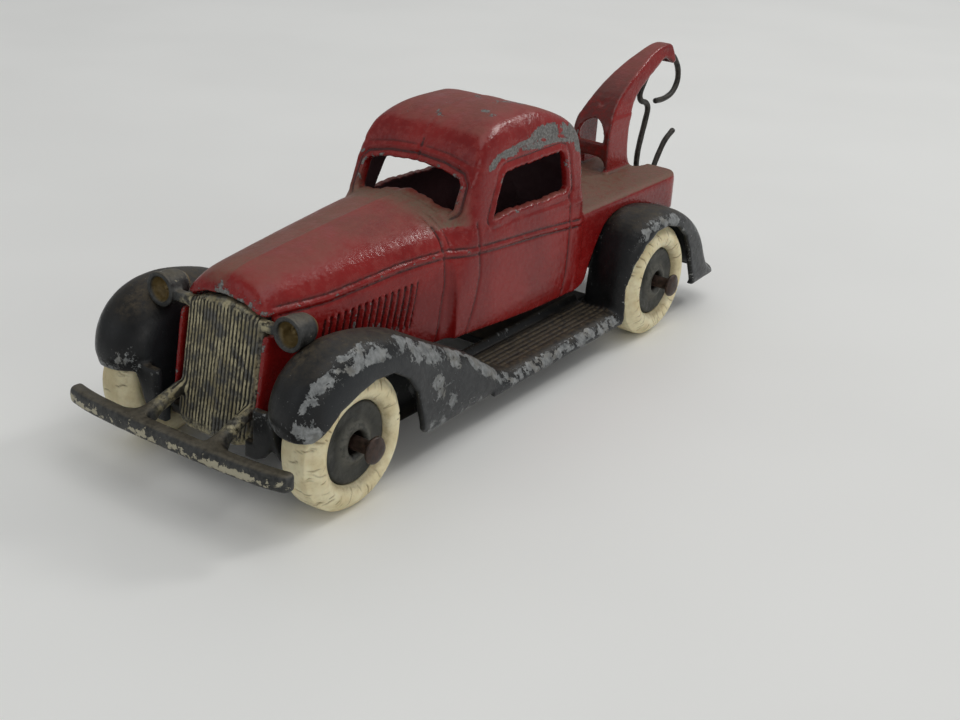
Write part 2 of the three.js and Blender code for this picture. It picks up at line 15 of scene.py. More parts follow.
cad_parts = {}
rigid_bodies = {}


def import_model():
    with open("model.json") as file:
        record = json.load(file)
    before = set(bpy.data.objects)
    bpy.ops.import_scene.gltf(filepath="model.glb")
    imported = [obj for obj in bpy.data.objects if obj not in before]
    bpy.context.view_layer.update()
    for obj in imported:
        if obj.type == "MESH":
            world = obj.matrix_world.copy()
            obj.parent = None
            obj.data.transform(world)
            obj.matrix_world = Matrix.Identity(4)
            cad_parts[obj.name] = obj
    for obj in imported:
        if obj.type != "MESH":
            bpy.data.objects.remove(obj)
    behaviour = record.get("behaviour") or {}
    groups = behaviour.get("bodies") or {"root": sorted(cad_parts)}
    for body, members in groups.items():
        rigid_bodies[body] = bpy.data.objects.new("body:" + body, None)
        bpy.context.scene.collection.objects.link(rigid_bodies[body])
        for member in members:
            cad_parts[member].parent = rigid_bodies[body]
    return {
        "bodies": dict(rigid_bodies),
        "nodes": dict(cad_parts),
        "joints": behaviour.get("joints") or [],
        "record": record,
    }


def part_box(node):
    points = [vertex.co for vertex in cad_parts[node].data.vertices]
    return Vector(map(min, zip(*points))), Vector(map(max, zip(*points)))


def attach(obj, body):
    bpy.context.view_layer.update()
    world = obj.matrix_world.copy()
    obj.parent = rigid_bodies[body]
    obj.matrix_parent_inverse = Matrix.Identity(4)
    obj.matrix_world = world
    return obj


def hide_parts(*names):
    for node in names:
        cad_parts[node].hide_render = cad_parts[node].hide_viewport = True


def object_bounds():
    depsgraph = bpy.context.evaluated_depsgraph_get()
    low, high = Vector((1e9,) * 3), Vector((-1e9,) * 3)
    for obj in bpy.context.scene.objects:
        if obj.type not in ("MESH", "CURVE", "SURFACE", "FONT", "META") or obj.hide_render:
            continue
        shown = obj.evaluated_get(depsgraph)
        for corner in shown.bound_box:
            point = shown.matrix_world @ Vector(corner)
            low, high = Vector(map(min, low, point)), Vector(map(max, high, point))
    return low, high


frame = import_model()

MM = 0.001
FRONT_AXLE_X = 36.0
REAR_AXLE_X = -31.0
AXLE_Z = 8.08
WALL = 1.1
FENDER_WALL = 0.9
HOOK_PIVOT = (-57.45, 34.78)
FIELD_STEP, FINE_STEP = ((0.19, 0.11))
MOST_TRIANGLES, MOST_FINE_TRIANGLES = ((190000, 180000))
BORE_RADIUS = 0.92
WHEEL_Y = 13.9
LAMP_X, LAMP_Y, LAMP_Z = 40.1, 9.6, 20.3
BED_REAR_X = -46.3
NAIL_HALF_LENGTH = 19.08
WIRE_RADIUS = 0.45

cad_low, cad_high = [list(corner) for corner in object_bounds()]


def middle(node):
    low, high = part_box(node)
    return (low + high) / 2


DATUM_X = middle("front_axle").x / MM - FRONT_AXLE_X


# ---- Camera, lights and floor ----

def add_camera():
    data = bpy.data.cameras.new("camera")
    data.sensor_width = 36.0
    data.lens = 53.32
    data.clip_start = 0.005
    camera = bpy.data.objects.new("camera", data)
    right = Vector((-0.57811, 0.81427, 0.05255))
    down = Vector((0.30509, 0.27544, -0.91162))
    forward = Vector((-0.75678, -0.51099, -0.40766))
    place = Vector((142.265 + DATUM_X, 103.224, 79.922)) * MM
    turn = Matrix((right, -down, -forward)).transposed().to_4x4()
    camera.matrix_world = Matrix.Translation(place) @ turn
    bpy.context.collection.objects.link(camera)
    bpy.context.scene.camera = camera


AIM = (0.0, 0.0, 0.015)
LIGHTS = {  # place, target, size, power and colour
    "overhead_softbox": ((-0.05, 0.16, 0.62), AIM, (0.5, 0.42), 0.98, (1.0, 0.985, 0.96)),
    "front_fill": ((0.62, -0.25, 0.34), AIM, (0.4, 0.4), 0.32, (0.95, 0.98, 1.0)),
    "side_strip": ((0.2, 0.62, 0.26), AIM, (0.5, 0.16), 0.5, (1.0, 0.98, 0.95)),
    "backdrop_wash": ((-0.42, -0.3, 0.45), (-0.36, -0.26, 0.0), (0.45, 0.45), 0.25, (1.0, 1.0, 0.99)),
    "shoulder_strip": ((-0.45, 0.2, 0.43), AIM, (0.1, 0.1), 0.6, (1.0, 0.99, 0.97)),
}


def add_lights():
    for name, (place, target, size, power, colour) in LIGHTS.items():
        data = bpy.data.lights.new(name, "AREA")
        data.shape = "RECTANGLE"
        data.size, data.size_y = size
        data.energy = power
        data.color = colour
        light = bpy.data.objects.new(name, data)
        light.location = place
        light.rotation_euler = (Vector(target) - Vector(place)).to_track_quat("-Z", "Y").to_euler()
        bpy.context.collection.objects.link(light)
    world = bpy.data.worlds.new("studio")
    bpy.context.scene.world = world
    world.use_nodes = True
    background = world.node_tree.nodes["Background"]
    background.inputs["Color"].default_value = (0.97, 0.98, 0.985, 1.0)
    background.inputs["Strength"].default_value = 0.38
    bpy.context.scene.view_settings.view_transform = "Standard"


# ---- Materials ----

class Look:
    """A material whose nodes are made by short calls, each of which returns a socket. Lengths are in mm."""

    def __init__(self, name):
        self.material = bpy.data.materials.new(name)
        self.material.use_nodes = True
        self.nodes = self.material.node_tree.nodes
        self.links = self.material.node_tree.links
        self.shader = self.nodes["Principled BSDF"]
        coordinates = self.nodes.new("ShaderNodeTexCoord")
        scale = self.nodes.new("ShaderNodeVectorMath")
        scale.operation = "SCALE"
        scale.inputs["Scale"].default_value = 1 / MM
        self.links.new(coordinates.outputs["Object"], scale.inputs[0])
        self.point = scale.outputs[0]
        self.normal = self.split(coordinates.outputs["Normal"])

    def plug(self, value, socket):
        if isinstance(value, bpy.types.NodeSocket):
            self.links.new(value, socket)
        elif isinstance(value, tuple) and len(value) == 3 and socket.type == "RGBA":
            socket.default_value = (*value, 1.0)
        else:
            socket.default_value = value

    def split(self, vector):
        node = self.nodes.new("ShaderNodeSeparateXYZ")
        self.links.new(vector, node.inputs[0])
        return node.outputs

    def math(self, operation, a, b=0.0):
        node = self.nodes.new("ShaderNodeMath")
        node.operation = operation
        self.plug(a, node.inputs[0])
        self.plug(b, node.inputs[1])
        return node.outputs[0]

    def add(self, a, b):
        return self.math("ADD", a, b)

    def times(self, a, b):
        return self.math("MULTIPLY", a, b)

    def either(self, a, b):
        return self.math("MAXIMUM", a, b)

    def step(self, value, low, high, start=0.0, end=1.0):
        node = self.nodes.new("ShaderNodeMapRange")
        node.interpolation_type = "SMOOTHSTEP"
        self.plug(value, node.inputs["Value"])
        for name, number in zip(("From Min", "From Max", "To Min", "To Max"), (low, high, start, end)):
            node.inputs[name].default_value = number
        return node.outputs[0]

    def mapped(self, offset=(0, 0, 0), scale=(1, 1, 1)):
        node = self.nodes.new("ShaderNodeMapping")
        self.links.new(self.point, node.inputs["Vector"])
        node.inputs["Location"].default_value = offset
        node.inputs["Scale"].default_value = scale
        return node.outputs[0]

    def noise(self, size, detail=3.0, roughness=0.55, offset=0.0, stretch=(1, 1, 1), distortion=0.0):
        node = self.nodes.new("ShaderNodeTexNoise")
        self.links.new(self.mapped((offset, offset * 0.7, offset * 1.3), stretch), node.inputs["Vector"])
        node.inputs["Scale"].default_value = 1 / size
        node.inputs["Detail"].default_value = detail
        node.inputs["Roughness"].default_value = roughness
        node.inputs["Distortion"].default_value = distortion
        return node.outputs[0]

    def attribute(self, name):
        node = self.nodes.new("ShaderNodeAttribute")
        node.attribute_name = name
        return node.outputs["Fac"]

    def mix(self, amount, a, b):
        node = self.nodes.new("ShaderNodeMix")
        node.data_type = "RGBA"
        self.plug(amount, node.inputs[0])
        self.plug(a, node.inputs[6])
        self.plug(b, node.inputs[7])
        return node.outputs[2]

    def blend(self, amount, a, b):
        node = self.nodes.new("ShaderNodeMix")
        self.plug(amount, node.inputs[0])
        self.plug(a, node.inputs[2])
        self.plug(b, node.inputs[3])
        return node.outputs[0]

    def set(self, **values):
        for name, value in values.items():
            self.plug(value, self.shader.inputs[name.replace("_", " ")])

    def bump(self, height, depth, normal=None):
        """Depth is in mm for a height that runs from 0 to 1."""
        node = self.nodes.new("ShaderNodeBump")
        node.inputs["Strength"].default_value = 1.0
        node.inputs["Distance"].default_value = depth * MM
        self.links.new(height, node.inputs["Height"])
        if normal:
            self.links.new(normal, node.inputs["Normal"])
        self.links.new(node.outputs[0], self.shader.inputs["Normal"])
        return node.outputs[0]

    def patches(self, field, dark, light):
        return self.mix(self.step(field, 0.35, 0.65), dark, light)

    def pitted(self, coarse, grain, share, depth):
        """Bump from two noises, of which the coarse one has the given share."""
        return self.bump(self.add(self.times(coarse, share), self.times(grain, 1 - share)), depth)

    def chipped(self, bare, depth, skin):
        """Sinks the bare places by the thickness of the paint that has gone."""
        self.bump(self.math("SUBTRACT", 1.0, bare), depth, skin)


DUST = (0.155, 0.105, 0.07)


def red_enamel():
    look = Look("red_enamel")
    up = look.normal[2]
    broad = look.noise(9.0, 2.0)
    fine = look.noise(1.1, 4.0, 0.6, 5.0)
    grain = look.noise(0.28, 3.0, 0.6, 9.0)
    red = look.patches(broad, (0.175, 0.005, 0.005), (0.245, 0.011, 0.01))
    faded = look.times(look.step(fine, 0.42, 0.7), look.step(up, -0.2, 0.6, 0.1, 0.6))
    red = look.mix(faded, red, (0.27, 0.038, 0.032))
    film = look.times(look.step(up, 0.72, 0.99), look.step(look.noise(3.2, 4.0, 0.65, 2.0), 0.3, 0.62, 0.35, 1.0))
    film = look.times(film, look.step(grain, 0.25, 0.7, 0.55, 1.0))
    red = look.mix(look.times(film, 0.62), red, (0.2, 0.095, 0.07))
    settled = look.times(look.attribute("dust"), look.step(fine, 0.25, 0.6, 0.55, 1.0))
    settled = look.times(settled, look.step(grain, 0.3, 0.65, 0.6, 1.0))
    red = look.mix(settled, red, DUST)
    # Hollows and the pressed-in grooves are darkened towards near black: grime and painted shade.
    grime_and_shade = look.times(look.step(look.attribute("hollow"), 0.12, 0.7), look.step(fine, 0.25, 0.6, 0.6, 1.0))
    grime_and_shade = look.either(grime_and_shade, look.times(look.attribute("groove_grime_and_shade"), look.step(fine, 0.2, 0.5, 0.6, 1.0)))
    red = look.mix(look.times(grime_and_shade, 0.85), red, (0.022, 0.006, 0.006))
    # The derrick's forward-facing faces are darkened: painted shade, with some stain.
    stain_and_shade_mask = look.times(look.attribute("stain_and_shade"), look.step(fine, 0.3, 0.6, 0.5, 1.0))
    red = look.mix(stain_and_shade_mask, red, (0.045, 0.016, 0.013))
    specks = look.step(look.noise(0.55, 3.0, 0.7, 31.0), 0.72, 0.76)
    scars = look.step(look.noise(2.1, 5.0, 0.72, 57.0), 0.765, 0.785)
    red = look.mix(look.times(look.either(specks, scars), 0.7), red, (0.045, 0.018, 0.016))
    flake = look.noise(1.5, 6.0, 0.72, 41.0)
    worn = look.add(look.times(look.attribute("edge"), 0.2), look.times(look.attribute("worn"), 0.34))
    bare = look.step(look.add(flake, worn), 0.775, 0.8)
    zinc = look.mix(look.step(grain, 0.3, 0.7), (0.12, 0.115, 0.11), (0.29, 0.285, 0.275))
    colour = look.mix(bare, red, zinc)
    # Inside faces of the shell are painted dark grey-purple: painted shade.
    inner = look.attribute("inner")
    colour = look.mix(look.times(inner, 0.93), colour, look.mix(fine, (0.028, 0.02, 0.024), (0.06, 0.045, 0.05)))
    look.set(Base_Color=colour)
    matt = look.either(film, settled)
    rough = look.blend(matt, look.step(fine, 0.3, 0.7, 0.17, 0.31), 0.72)
    rough = look.blend(look.either(bare, inner), rough, 0.58)
    look.set(Roughness=rough, Metallic=look.times(bare, 0.7), Specular_IOR_Level=0.34)
    look.chipped(bare, 0.05, look.pitted(look.noise(0.7, 2.0, 0.5, 3.0), grain, 0.75, 0.085))
    return look.material


def black_enamel():
    look = Look("black_enamel")
    across = look.math("ABSOLUTE", look.normal[1])
    up = look.normal[2]
    fine = look.noise(0.8, 5.0, 0.65, 3.0)
    grain = look.noise(0.22, 3.0, 0.6, 8.0)
    broad = look.noise(6.0, 3.0, 0.5, 1.0)
    paint = look.patches(broad, (0.003, 0.0033, 0.0038), (0.009, 0.01, 0.011))
    # Faces that point sideways are painted lighter grey: a painted sheen.
    paint = look.mix(look.times(look.step(across, 0.8, 0.99), 0.5), paint, (0.03, 0.034, 0.038))
    dust = look.times(look.step(up, 0.55, 0.98), look.step(look.noise(2.4, 4.0, 0.65, 6.0), 0.3, 0.6, 0.1, 0.5))
    dust = look.either(dust, look.times(look.attribute("dust"), look.step(fine, 0.3, 0.55, 0.5, 0.95)))
    dust = look.times(dust, look.step(grain, 0.25, 0.65, 0.5, 1.0))
    brown = look.patches(fine, (0.04, 0.031, 0.022), (0.12, 0.092, 0.055))
    flake = look.noise(1.7, 8.0, 0.68, 21.0, distortion=0.35)
    amount = look.add(look.times(look.attribute("worn"), 0.3), look.times(look.attribute("edge"), 0.1))
    bare = look.step(look.add(flake, amount), 0.735, 0.755)
    scuff = look.step(look.add(look.noise(0.45, 4.0, 0.7, 25.0), look.times(amount, 0.5)), 0.69, 0.73)
    bare = look.either(bare, look.times(scuff, 0.75))
    zinc = look.mix(look.step(fine, 0.3, 0.7), (0.13, 0.138, 0.14), (0.3, 0.31, 0.31))
    tarnish = look.times(look.step(look.noise(2.6, 3.0, 0.6, 14.0), 0.5, 0.68), 0.5)
    zinc = look.mix(tarnish, zinc, (0.17, 0.155, 0.125))
    colour = look.mix(dust, paint, brown)
    colour = look.mix(bare, colour, zinc)
    # Hollows are darkened to near black: grime and painted shade.
    grime_and_shade = look.step(look.attribute("hollow"), 0.25, 0.9)
    colour = look.mix(look.times(grime_and_shade, 0.8), colour, (0.008, 0.008, 0.008))
    under = look.attribute("inner")
    colour = look.mix(look.times(under, 0.8), colour, (0.012, 0.012, 0.012))
    look.set(Base_Color=colour)
    rough = look.blend(look.either(dust, under), look.step(fine, 0.3, 0.7, 0.3, 0.48), 0.8)
    rough = look.blend(bare, rough, 0.55)
    look.set(Roughness=rough, Metallic=look.times(bare, 0.35), Specular_IOR_Level=0.32)
    look.chipped(bare, 0.05, look.pitted(fine, grain, 0.6, 0.05))
    return look.material


def tarnished_plate():
    look = Look("tarnished_plate")
    fine = look.noise(0.5, 5.0, 0.65, 2.0)
    broad = look.noise(2.8, 4.0, 0.6, 5.0)
    grain = look.noise(0.16, 3.0, 0.6, 7.0)
    uneven = look.times(look.math("SUBTRACT", fine, 0.5), 1.4)
    ridge = look.step(look.add(look.attribute("crest"), uneven), 0.55, 0.85)
    brass = look.patches(broad, (0.2, 0.17, 0.09), (0.5, 0.45, 0.29))
    grey = look.mix(fine, (0.06, 0.06, 0.055), (0.14, 0.138, 0.125))
    plate = look.mix(look.step(look.noise(1.6, 4.0, 0.6, 11.0), 0.42, 0.62), brass, grey)
    dark = look.mix(fine, (0.014, 0.0135, 0.01), (0.04, 0.036, 0.024))
    # Rib valleys take the near-black colour and rib crests the plate: painted shade between the ribs.
    colour = look.mix(look.either(ridge, look.attribute("inner")), dark, plate)
    dull = look.attribute("dull")
    tarnish = look.mix(look.step(fine, 0.35, 0.7), (0.016, 0.017, 0.017), (0.055, 0.056, 0.052))
    handled = look.times(look.attribute("worn"), 0.26)
    flakes = look.step(look.add(look.noise(0.9, 6.0, 0.7, 15.0), handled), 0.65, 0.67)
    tarnish = look.mix(flakes, tarnish, (0.4, 0.37, 0.27))
    dusty = look.times(look.step(look.normal[2], 0.5, 0.95), look.step(fine, 0.3, 0.6, 0.5, 1.0))
    tarnish = look.mix(look.times(dusty, 0.5), tarnish, (0.15, 0.125, 0.08))
    colour = look.mix(dull, colour, tarnish)
    # Hollows are darkened to near black: grime and painted shade.
    hollow = look.step(look.attribute("hollow"), 0.12, 0.6)
    colour = look.mix(look.times(hollow, 0.95), colour, (0.008, 0.0075, 0.006))
    # Brassy colour inside the lamp bowls, with a painted orange reflection.
    lamp_brass_and_reflection = look.mix(fine, (0.1, 0.06, 0.015), (0.25, 0.18, 0.06))
    colour = look.mix(look.times(look.attribute("lamp_brass_and_reflection"), 0.8), colour, lamp_brass_and_reflection)
    look.set(Base_Color=colour)
    look.set(Roughness=look.step(fine, 0.25, 0.7, 0.36, 0.62), Metallic=look.times(look.step(broad, 0.3, 0.7), 0.55))
    look.chipped(look.times(flakes, dull), 0.03, look.pitted(fine, grain, 0.7, 0.06))
    return look.material


def hub_metal():
    look = Look("hub_metal")
    fine = look.noise(0.55, 5.0, 0.65, 4.0)
    grain = look.noise(0.14, 3.0, 0.6, 6.0)
    base = look.patches(look.noise(2.5, 3.0, 0.5, 9.0), (0.02, 0.021, 0.018), (0.05, 0.05, 0.042))
    rubbed = look.times(look.attribute("worn"), look.step(fine, 0.3, 0.62))
    colour = look.mix(look.times(rubbed, 0.65), base, (0.17, 0.165, 0.14))
    pits = look.step(look.noise(0.38, 4.0, 0.7, 12.0), 0.68, 0.73)
    colour = look.mix(look.times(pits, 0.7), colour, (0.15, 0.145, 0.125))
    # The recess round the bore is darkened to near black: grime and painted shade.
    colour = look.mix(look.step(look.attribute("hollow"), 0.1, 0.7), colour, (0.012, 0.008, 0.006))
    look.set(Base_Color=colour, Metallic=0.25)
    look.set(Roughness=look.step(fine, 0.3, 0.7, 0.42, 0.66))
    look.pitted(fine, grain, 0.7, 0.06)
    return look.material


def old_rubber():
    look = Look("white_rubber")
    broad = look.noise(3.5, 3.0, 0.55, 2.0)
    fine = look.noise(0.6, 5.0, 0.65, 3.0)
    grain = look.noise(0.15, 2.0, 0.5, 5.0)
    colour = look.patches(broad, (0.7, 0.6, 0.36), (0.85, 0.78, 0.53))
    colour = look.mix(look.step(fine, 0.45, 0.8, 0.0, 0.4), colour, (0.45, 0.35, 0.17))
    # Brown round the hub seat: stain and painted shade in the crevice.
    stain_and_shade = look.times(look.attribute("hollow"), look.step(fine, 0.25, 0.6, 0.4, 0.9))
    colour = look.mix(stain_and_shade, colour, (0.2, 0.15, 0.08))
    colour = look.mix(look.times(look.attribute("crack"), 0.85), colour, (0.12, 0.07, 0.03))
    look.set(Base_Color=colour, Subsurface_Weight=0.06, Subsurface_Scale=0.0008)
    look.set(Roughness=look.step(fine, 0.3, 0.7, 0.55, 0.78))
    look.pitted(fine, grain, 0.5, 0.04)
    return look.material


def rusty_steel(name, dark, light, metallic, size):
    look = Look(name)
    fine = look.noise(size, 5.0, 0.65, 2.0)
    grain = look.noise(size * 0.3, 3.0, 0.6, 4.0)
    colour = look.mix(look.step(fine, 0.3, 0.7), dark, light)
    colour = look.mix(look.step(grain, 0.55, 0.8, 0.0, 0.5), colour, (0.12, 0.05, 0.025))
    look.set(Base_Color=colour, Metallic=metallic)
    look.set(Roughness=look.step(fine, 0.3, 0.7, 0.32, 0.6))
    look.pitted(fine, grain, 0.6, 0.05)
    return look.material


def floor_plastic():
    look = Look("floor_plastic")
    soft = look.noise(60.0, 2.0)
    colour = look.mix(look.step(soft, 0.3, 0.7), (0.87, 0.875, 0.86), (0.9, 0.905, 0.89))
    look.set(Base_Color=colour, Roughness=0.5, Specular_IOR_Level=0.3)
    return look.material


# ---- Outlines and fields ----

def curve(points, steps=5):
    """Points spaced along a smooth curve through the given ones."""
    points = np.asarray(points, float)
    padded = np.vstack([2 * points[0] - points[1], points, 2 * points[-1] - points[-2]])
    made = []
    for a, b, c, d in zip(padded, padded[1:], padded[2:], padded[3:]):
        for t in np.arange(steps) / steps:
            made.append(0.5 * (2 * b + (c - a) * t + (2 * a - 5 * b + 4 * c - d) * t**2
                               + (3 * b - a - 3 * c + d) * t**3))
    return np.array([*made, points[-1]])


def through(points):
    """A smooth function through (place, value) points, constant beyond both ends."""
    dense = curve(sorted(points), 8)
    return lambda at: np.interp(at, dense[:, 0], dense[:, 1]).astype(np.float32)


def outline_distance(u, v, points):
    """Signed distance, negative inside, from every (u, v) to a closed outline."""
    u, v = np.broadcast_arrays(u, v)
    nearest = np.full(u.shape, 1e9, np.float32)
    inside = np.zeros(u.shape, bool)
    points = np.asarray(points, np.float32)
    for (a, b), (c, d) in zip(points, np.roll(points, -1, axis=0)):
        du, dv = c - a, d - b
        length = du * du + dv * dv
        if length < 1e-9:
            continue
        t = np.clip(((u - a) * du + (v - b) * dv) / length, 0, 1)
        nearest = np.minimum(nearest, (u - a - t * du) ** 2 + (v - b - t * dv) ** 2)
        if abs(dv) > 1e-9:
            inside ^= ((b > v) != (d > v)) & (u < a + (v - b) * du / dv)
    return np.where(inside, -1, 1).astype(np.float32) * np.sqrt(nearest)


def line_distance(u, v, points):
    """Distance from every (u, v) to an open line."""
    u, v = np.broadcast_arrays(u, v)
    nearest = np.full(u.shape, 1e9, np.float32)
    for (a, b), (c, d) in zip(points, points[1:]):
        du, dv = c - a, d - b
        t = np.clip(((u - a) * du + (v - b) * dv) / (du * du + dv * dv), 0, 1)
        nearest = np.minimum(nearest, (u - a - t * du) ** 2 + (v - b - t * dv) ** 2)
    return np.sqrt(nearest)


def join(a, b, fillet=0.01):
    h = np.clip(0.5 + 0.5 * (b - a) / fillet, 0, 1)
    return b + (a - b) * h - fillet * h * (1 - h)


def common(a, b, rounding=0.01):
    return -join(-a, -b, rounding)


def cut(a, b, rounding=0.01):
    return -join(-a, b, rounding)


def hump(value, width):
    return np.exp(-((value / width) ** 2))


def ramp(value, low, high):
    t = np.clip((value - low) / (high - low), 0, 1)
    return t * t * (3 - 2 * t)


def between(value, low, full_from, full_to, high):
    """1 inside a range and 0 outside it, with a soft edge at both ends."""
    return ramp(value, low, full_from) * ramp(-value, -high, -full_to)


def squashed(across, height, power):
    """Distance to a section with upright sides under half of a squared ellipse. Both are shares of its size."""
    return (np.abs(across) ** power + np.maximum(height, 0) ** power) ** (1 / power)


class Grid:
    """The points of a box with y from 0, for one half of a symmetric casting."""

    def __init__(self, low, high, step):
        self.low, self.step = np.array(low, float), step
        counts = [int(math.ceil((b - a) / step)) + 1 for a, b in zip(low, high)]
        x, y, z = [np.float32(a + step * np.arange(n)) for a, n in zip(low, counts)]
        self.x, self.y, self.z = x[:, None, None], y[None, :, None], z[None, None, :]

    def xz(self, points):
        return outline_distance(self.x, self.z, points)

    def yz(self, points):
        return outline_distance(self.y, self.z, points)

    def xy(self, points):
        return outline_distance(self.x, self.y, points)


def rod_along_y(grid, x, z, radius):
    return np.sqrt((grid.x - x) ** 2 + (grid.z - z) ** 2) - radius


def slab(value, low, high):
    return np.maximum(low - value, value - high)


CORNERS = [(i, j, k) for i in (0, 1) for j in (0, 1) for k in (0, 1)]
EDGES = [(a, b) for a in CORNERS for b in CORNERS if a < b and sum(np.abs(np.subtract(a, b))) == 1]


def both_halves(values):
    return np.concatenate([values[:, :0:-1], values], axis=1)


def skin(values):
    """Quads over the zero surface of a field: a point in each cell that the surface crosses."""
    inside = values < 0
    shape = tuple(n - 1 for n in values.shape)
    corner = lambda a, field: field[tuple(slice(o, o + n) for o, n in zip(a, shape))]
    count = sum(corner(a, inside).astype(np.uint8) for a in CORNERS)
    cells = np.argwhere((count > 0) & (count < 8))
    number = np.full(shape, -1, np.int32)
    number[tuple(cells.T)] = np.arange(len(cells))
    total, hits = np.zeros((len(cells), 3)), np.zeros(len(cells))
    at = {a: values[tuple((cells + a).T)] for a in CORNERS}
    for a, b in EDGES:
        crossed = (at[a] < 0) != (at[b] < 0)
        share = np.where(crossed, at[a] / np.where(crossed, at[a] - at[b], 1), 0)
        total += crossed[:, None] * (np.array(a) + share[:, None] * np.subtract(b, a))
        hits += crossed
    points = cells + total / hits[:, None]
    quads = []
    for axis in range(3):
        one, two = [other for other in range(3) if other != axis]
        first = [slice(1, n - 1) for n in values.shape]
        first[axis] = slice(0, values.shape[axis] - 1)
        second = list(first)
        second[axis] = slice(1, values.shape[axis])
        starts = inside[tuple(first)]
        places = np.argwhere(starts != inside[tuple(second)])
        flips = starts[tuple(places.T)] == (axis == 1)
        places[:, one] += 1
        places[:, two] += 1
        ring = []
        for da, db in ((-1, -1), (0, -1), (0, 0), (-1, 0)):
            cell = places.copy()
            cell[:, one] += da
            cell[:, two] += db
            ring.append(number[tuple(cell.T)])
        ring = np.stack(ring, axis=1)
        ring[flips] = ring[flips][:, ::-1]
        quads.append(ring)
    return points, np.vstack(quads)


def sample(field, points):
    """The field's value at points given in cells, by straight blending between its corners."""
    base = np.clip(np.floor(points).astype(int), 0, np.array(field.shape) - 2)
    share = points - base
    total = np.zeros(len(points))
    for a in CORNERS:
        weight = np.prod(np.where(np.array(a) == 1, share, 1 - share), axis=1)
        total += weight * field[tuple((base + a).T)]
    return total


def spread(field, reach):
    """The field blurred over a cube of cells that reaches so far each way."""
    for axis in range(3):
        padded = np.pad(field, [(reach + 1, reach) if a == axis else (0, 0) for a in range(3)], mode="edge")
        running = np.cumsum(padded, axis=axis, dtype=np.float64)
        high = np.take(running, range(2 * reach + 1, running.shape[axis]), axis=axis)
        low = np.take(running, range(running.shape[axis] - 2 * reach - 1), axis=axis)
        field = ((high - low) / (2 * reach + 1)).astype(np.float32)
    return field


def value_noise(points, size, seed):
    """Smooth noise from -1 to 1 at the points, in mm, with lumps of about the given size."""
    lattice = np.random.default_rng(seed).uniform(-1, 1, (64, 64, 64))
    scaled = points / size + 320.0
    base = np.floor(scaled).astype(int)
    share = scaled - base
    share = share * share * (3 - 2 * share)
    total = np.zeros(len(points))
    for a in CORNERS:
        weight = np.prod(np.where(np.array(a) == 1, share, 1 - share), axis=1)
        total += weight * lattice[tuple(((base + a) % 64).T)]
    return total


# ---- Making pieces ----

def make_object(name, points, faces, attributes=()):
    """Points are in mm from the datum."""
    mesh = bpy.data.meshes.new(name)
    faces = faces.tolist() if isinstance(faces, np.ndarray) else faces
    mesh.from_pydata((points + (DATUM_X, 0, 0)) * MM, [], faces)
    mesh.update()
    for attribute, values in dict(attributes).items():
        layer = mesh.attributes.new(attribute, "FLOAT", "POINT")
        layer.data.foreach_set("value", np.asarray(values, np.float32))
    mesh.shade_smooth()
    item = bpy.data.objects.new(name, mesh)
    bpy.context.collection.objects.link(item)
    return item


def points_of(item):
    """The mesh's points, in mm from the datum."""
    flat = np.empty(len(item.data.vertices) * 3, np.float32)
    item.data.vertices.foreach_get("co", flat)
    return flat.reshape(-1, 3).astype(float) / MM - (DATUM_X, 0, 0)


def normals_of(item):
    flat = np.empty(len(item.data.vertices) * 3, np.float32)
    item.data.vertex_normals.foreach_get("vector", flat)
    return flat.reshape(-1, 3).astype(float)


def set_attribute(item, name, values):
    layer = item.data.attributes.new(name, "FLOAT", "POINT")
    layer.data.foreach_set("value", np.asarray(values, np.float32))


def thin_out(item, most):
    """Joins triangles where the surface is flat, until no more than so many are left."""
    triangles = 2 * len(item.data.polygons)
    if triangles <= most:
        return
    modifier = item.modifiers.new("thin", "DECIMATE")
    modifier.ratio = most / triangles
    evaluated = item.evaluated_get(bpy.context.evaluated_depsgraph_get())
    mesh = bpy.data.meshes.new_from_object(evaluated)
    item.modifiers.clear()
    old, item.data = item.data, mesh
    bpy.data.meshes.remove(old)
    mesh.name = item.name
    mesh.shade_smooth()


def cast(name, grid, solid, most, unevenness=0.02):
    """Skins a casting's field, and notes on each point how sharp an edge or how deep a hollow it lies in."""
    values = both_halves(solid)
    points, quads = skin(values)
    low = grid.low - (0, (values.shape[1] // 2) * grid.step, 0)
    item = make_object(name, points * grid.step + low, quads)
    thin_out(item, most)
    places = points_of(item)
    cells = (places - low) / grid.step
    near = np.clip(values, -1.2, 1.2)
    reach = max(1, round(0.45 / grid.step))
    bend = sample(spread(near, reach) - near, cells) / (reach * grid.step)
    set_attribute(item, "edge", np.clip(bend * 4.0, 0, 1))
    set_attribute(item, "hollow", np.clip(-bend * 4.0, 0, 1))
    lumps = value_noise(places, 3.5, 7) + 0.9 * value_noise(places, 0.9, 8)
    moved = places + normals_of(item) * (lumps * unevenness)[:, None]
    item.data.vertices.foreach_set("co", ((moved + (DATUM_X, 0, 0)) * MM).astype(np.float32).ravel())
    item.data.update()
    return item, places, cells


def dress(item, material, body, node):
    item.data.materials.clear()
    item.data.materials.append(material)
    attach(item, body)
    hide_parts(node)


# ---- Body casting ----

CAB_REAR_X = -18.4
BED_TOP_Z = 20.1
SIDE_Y = 10.45

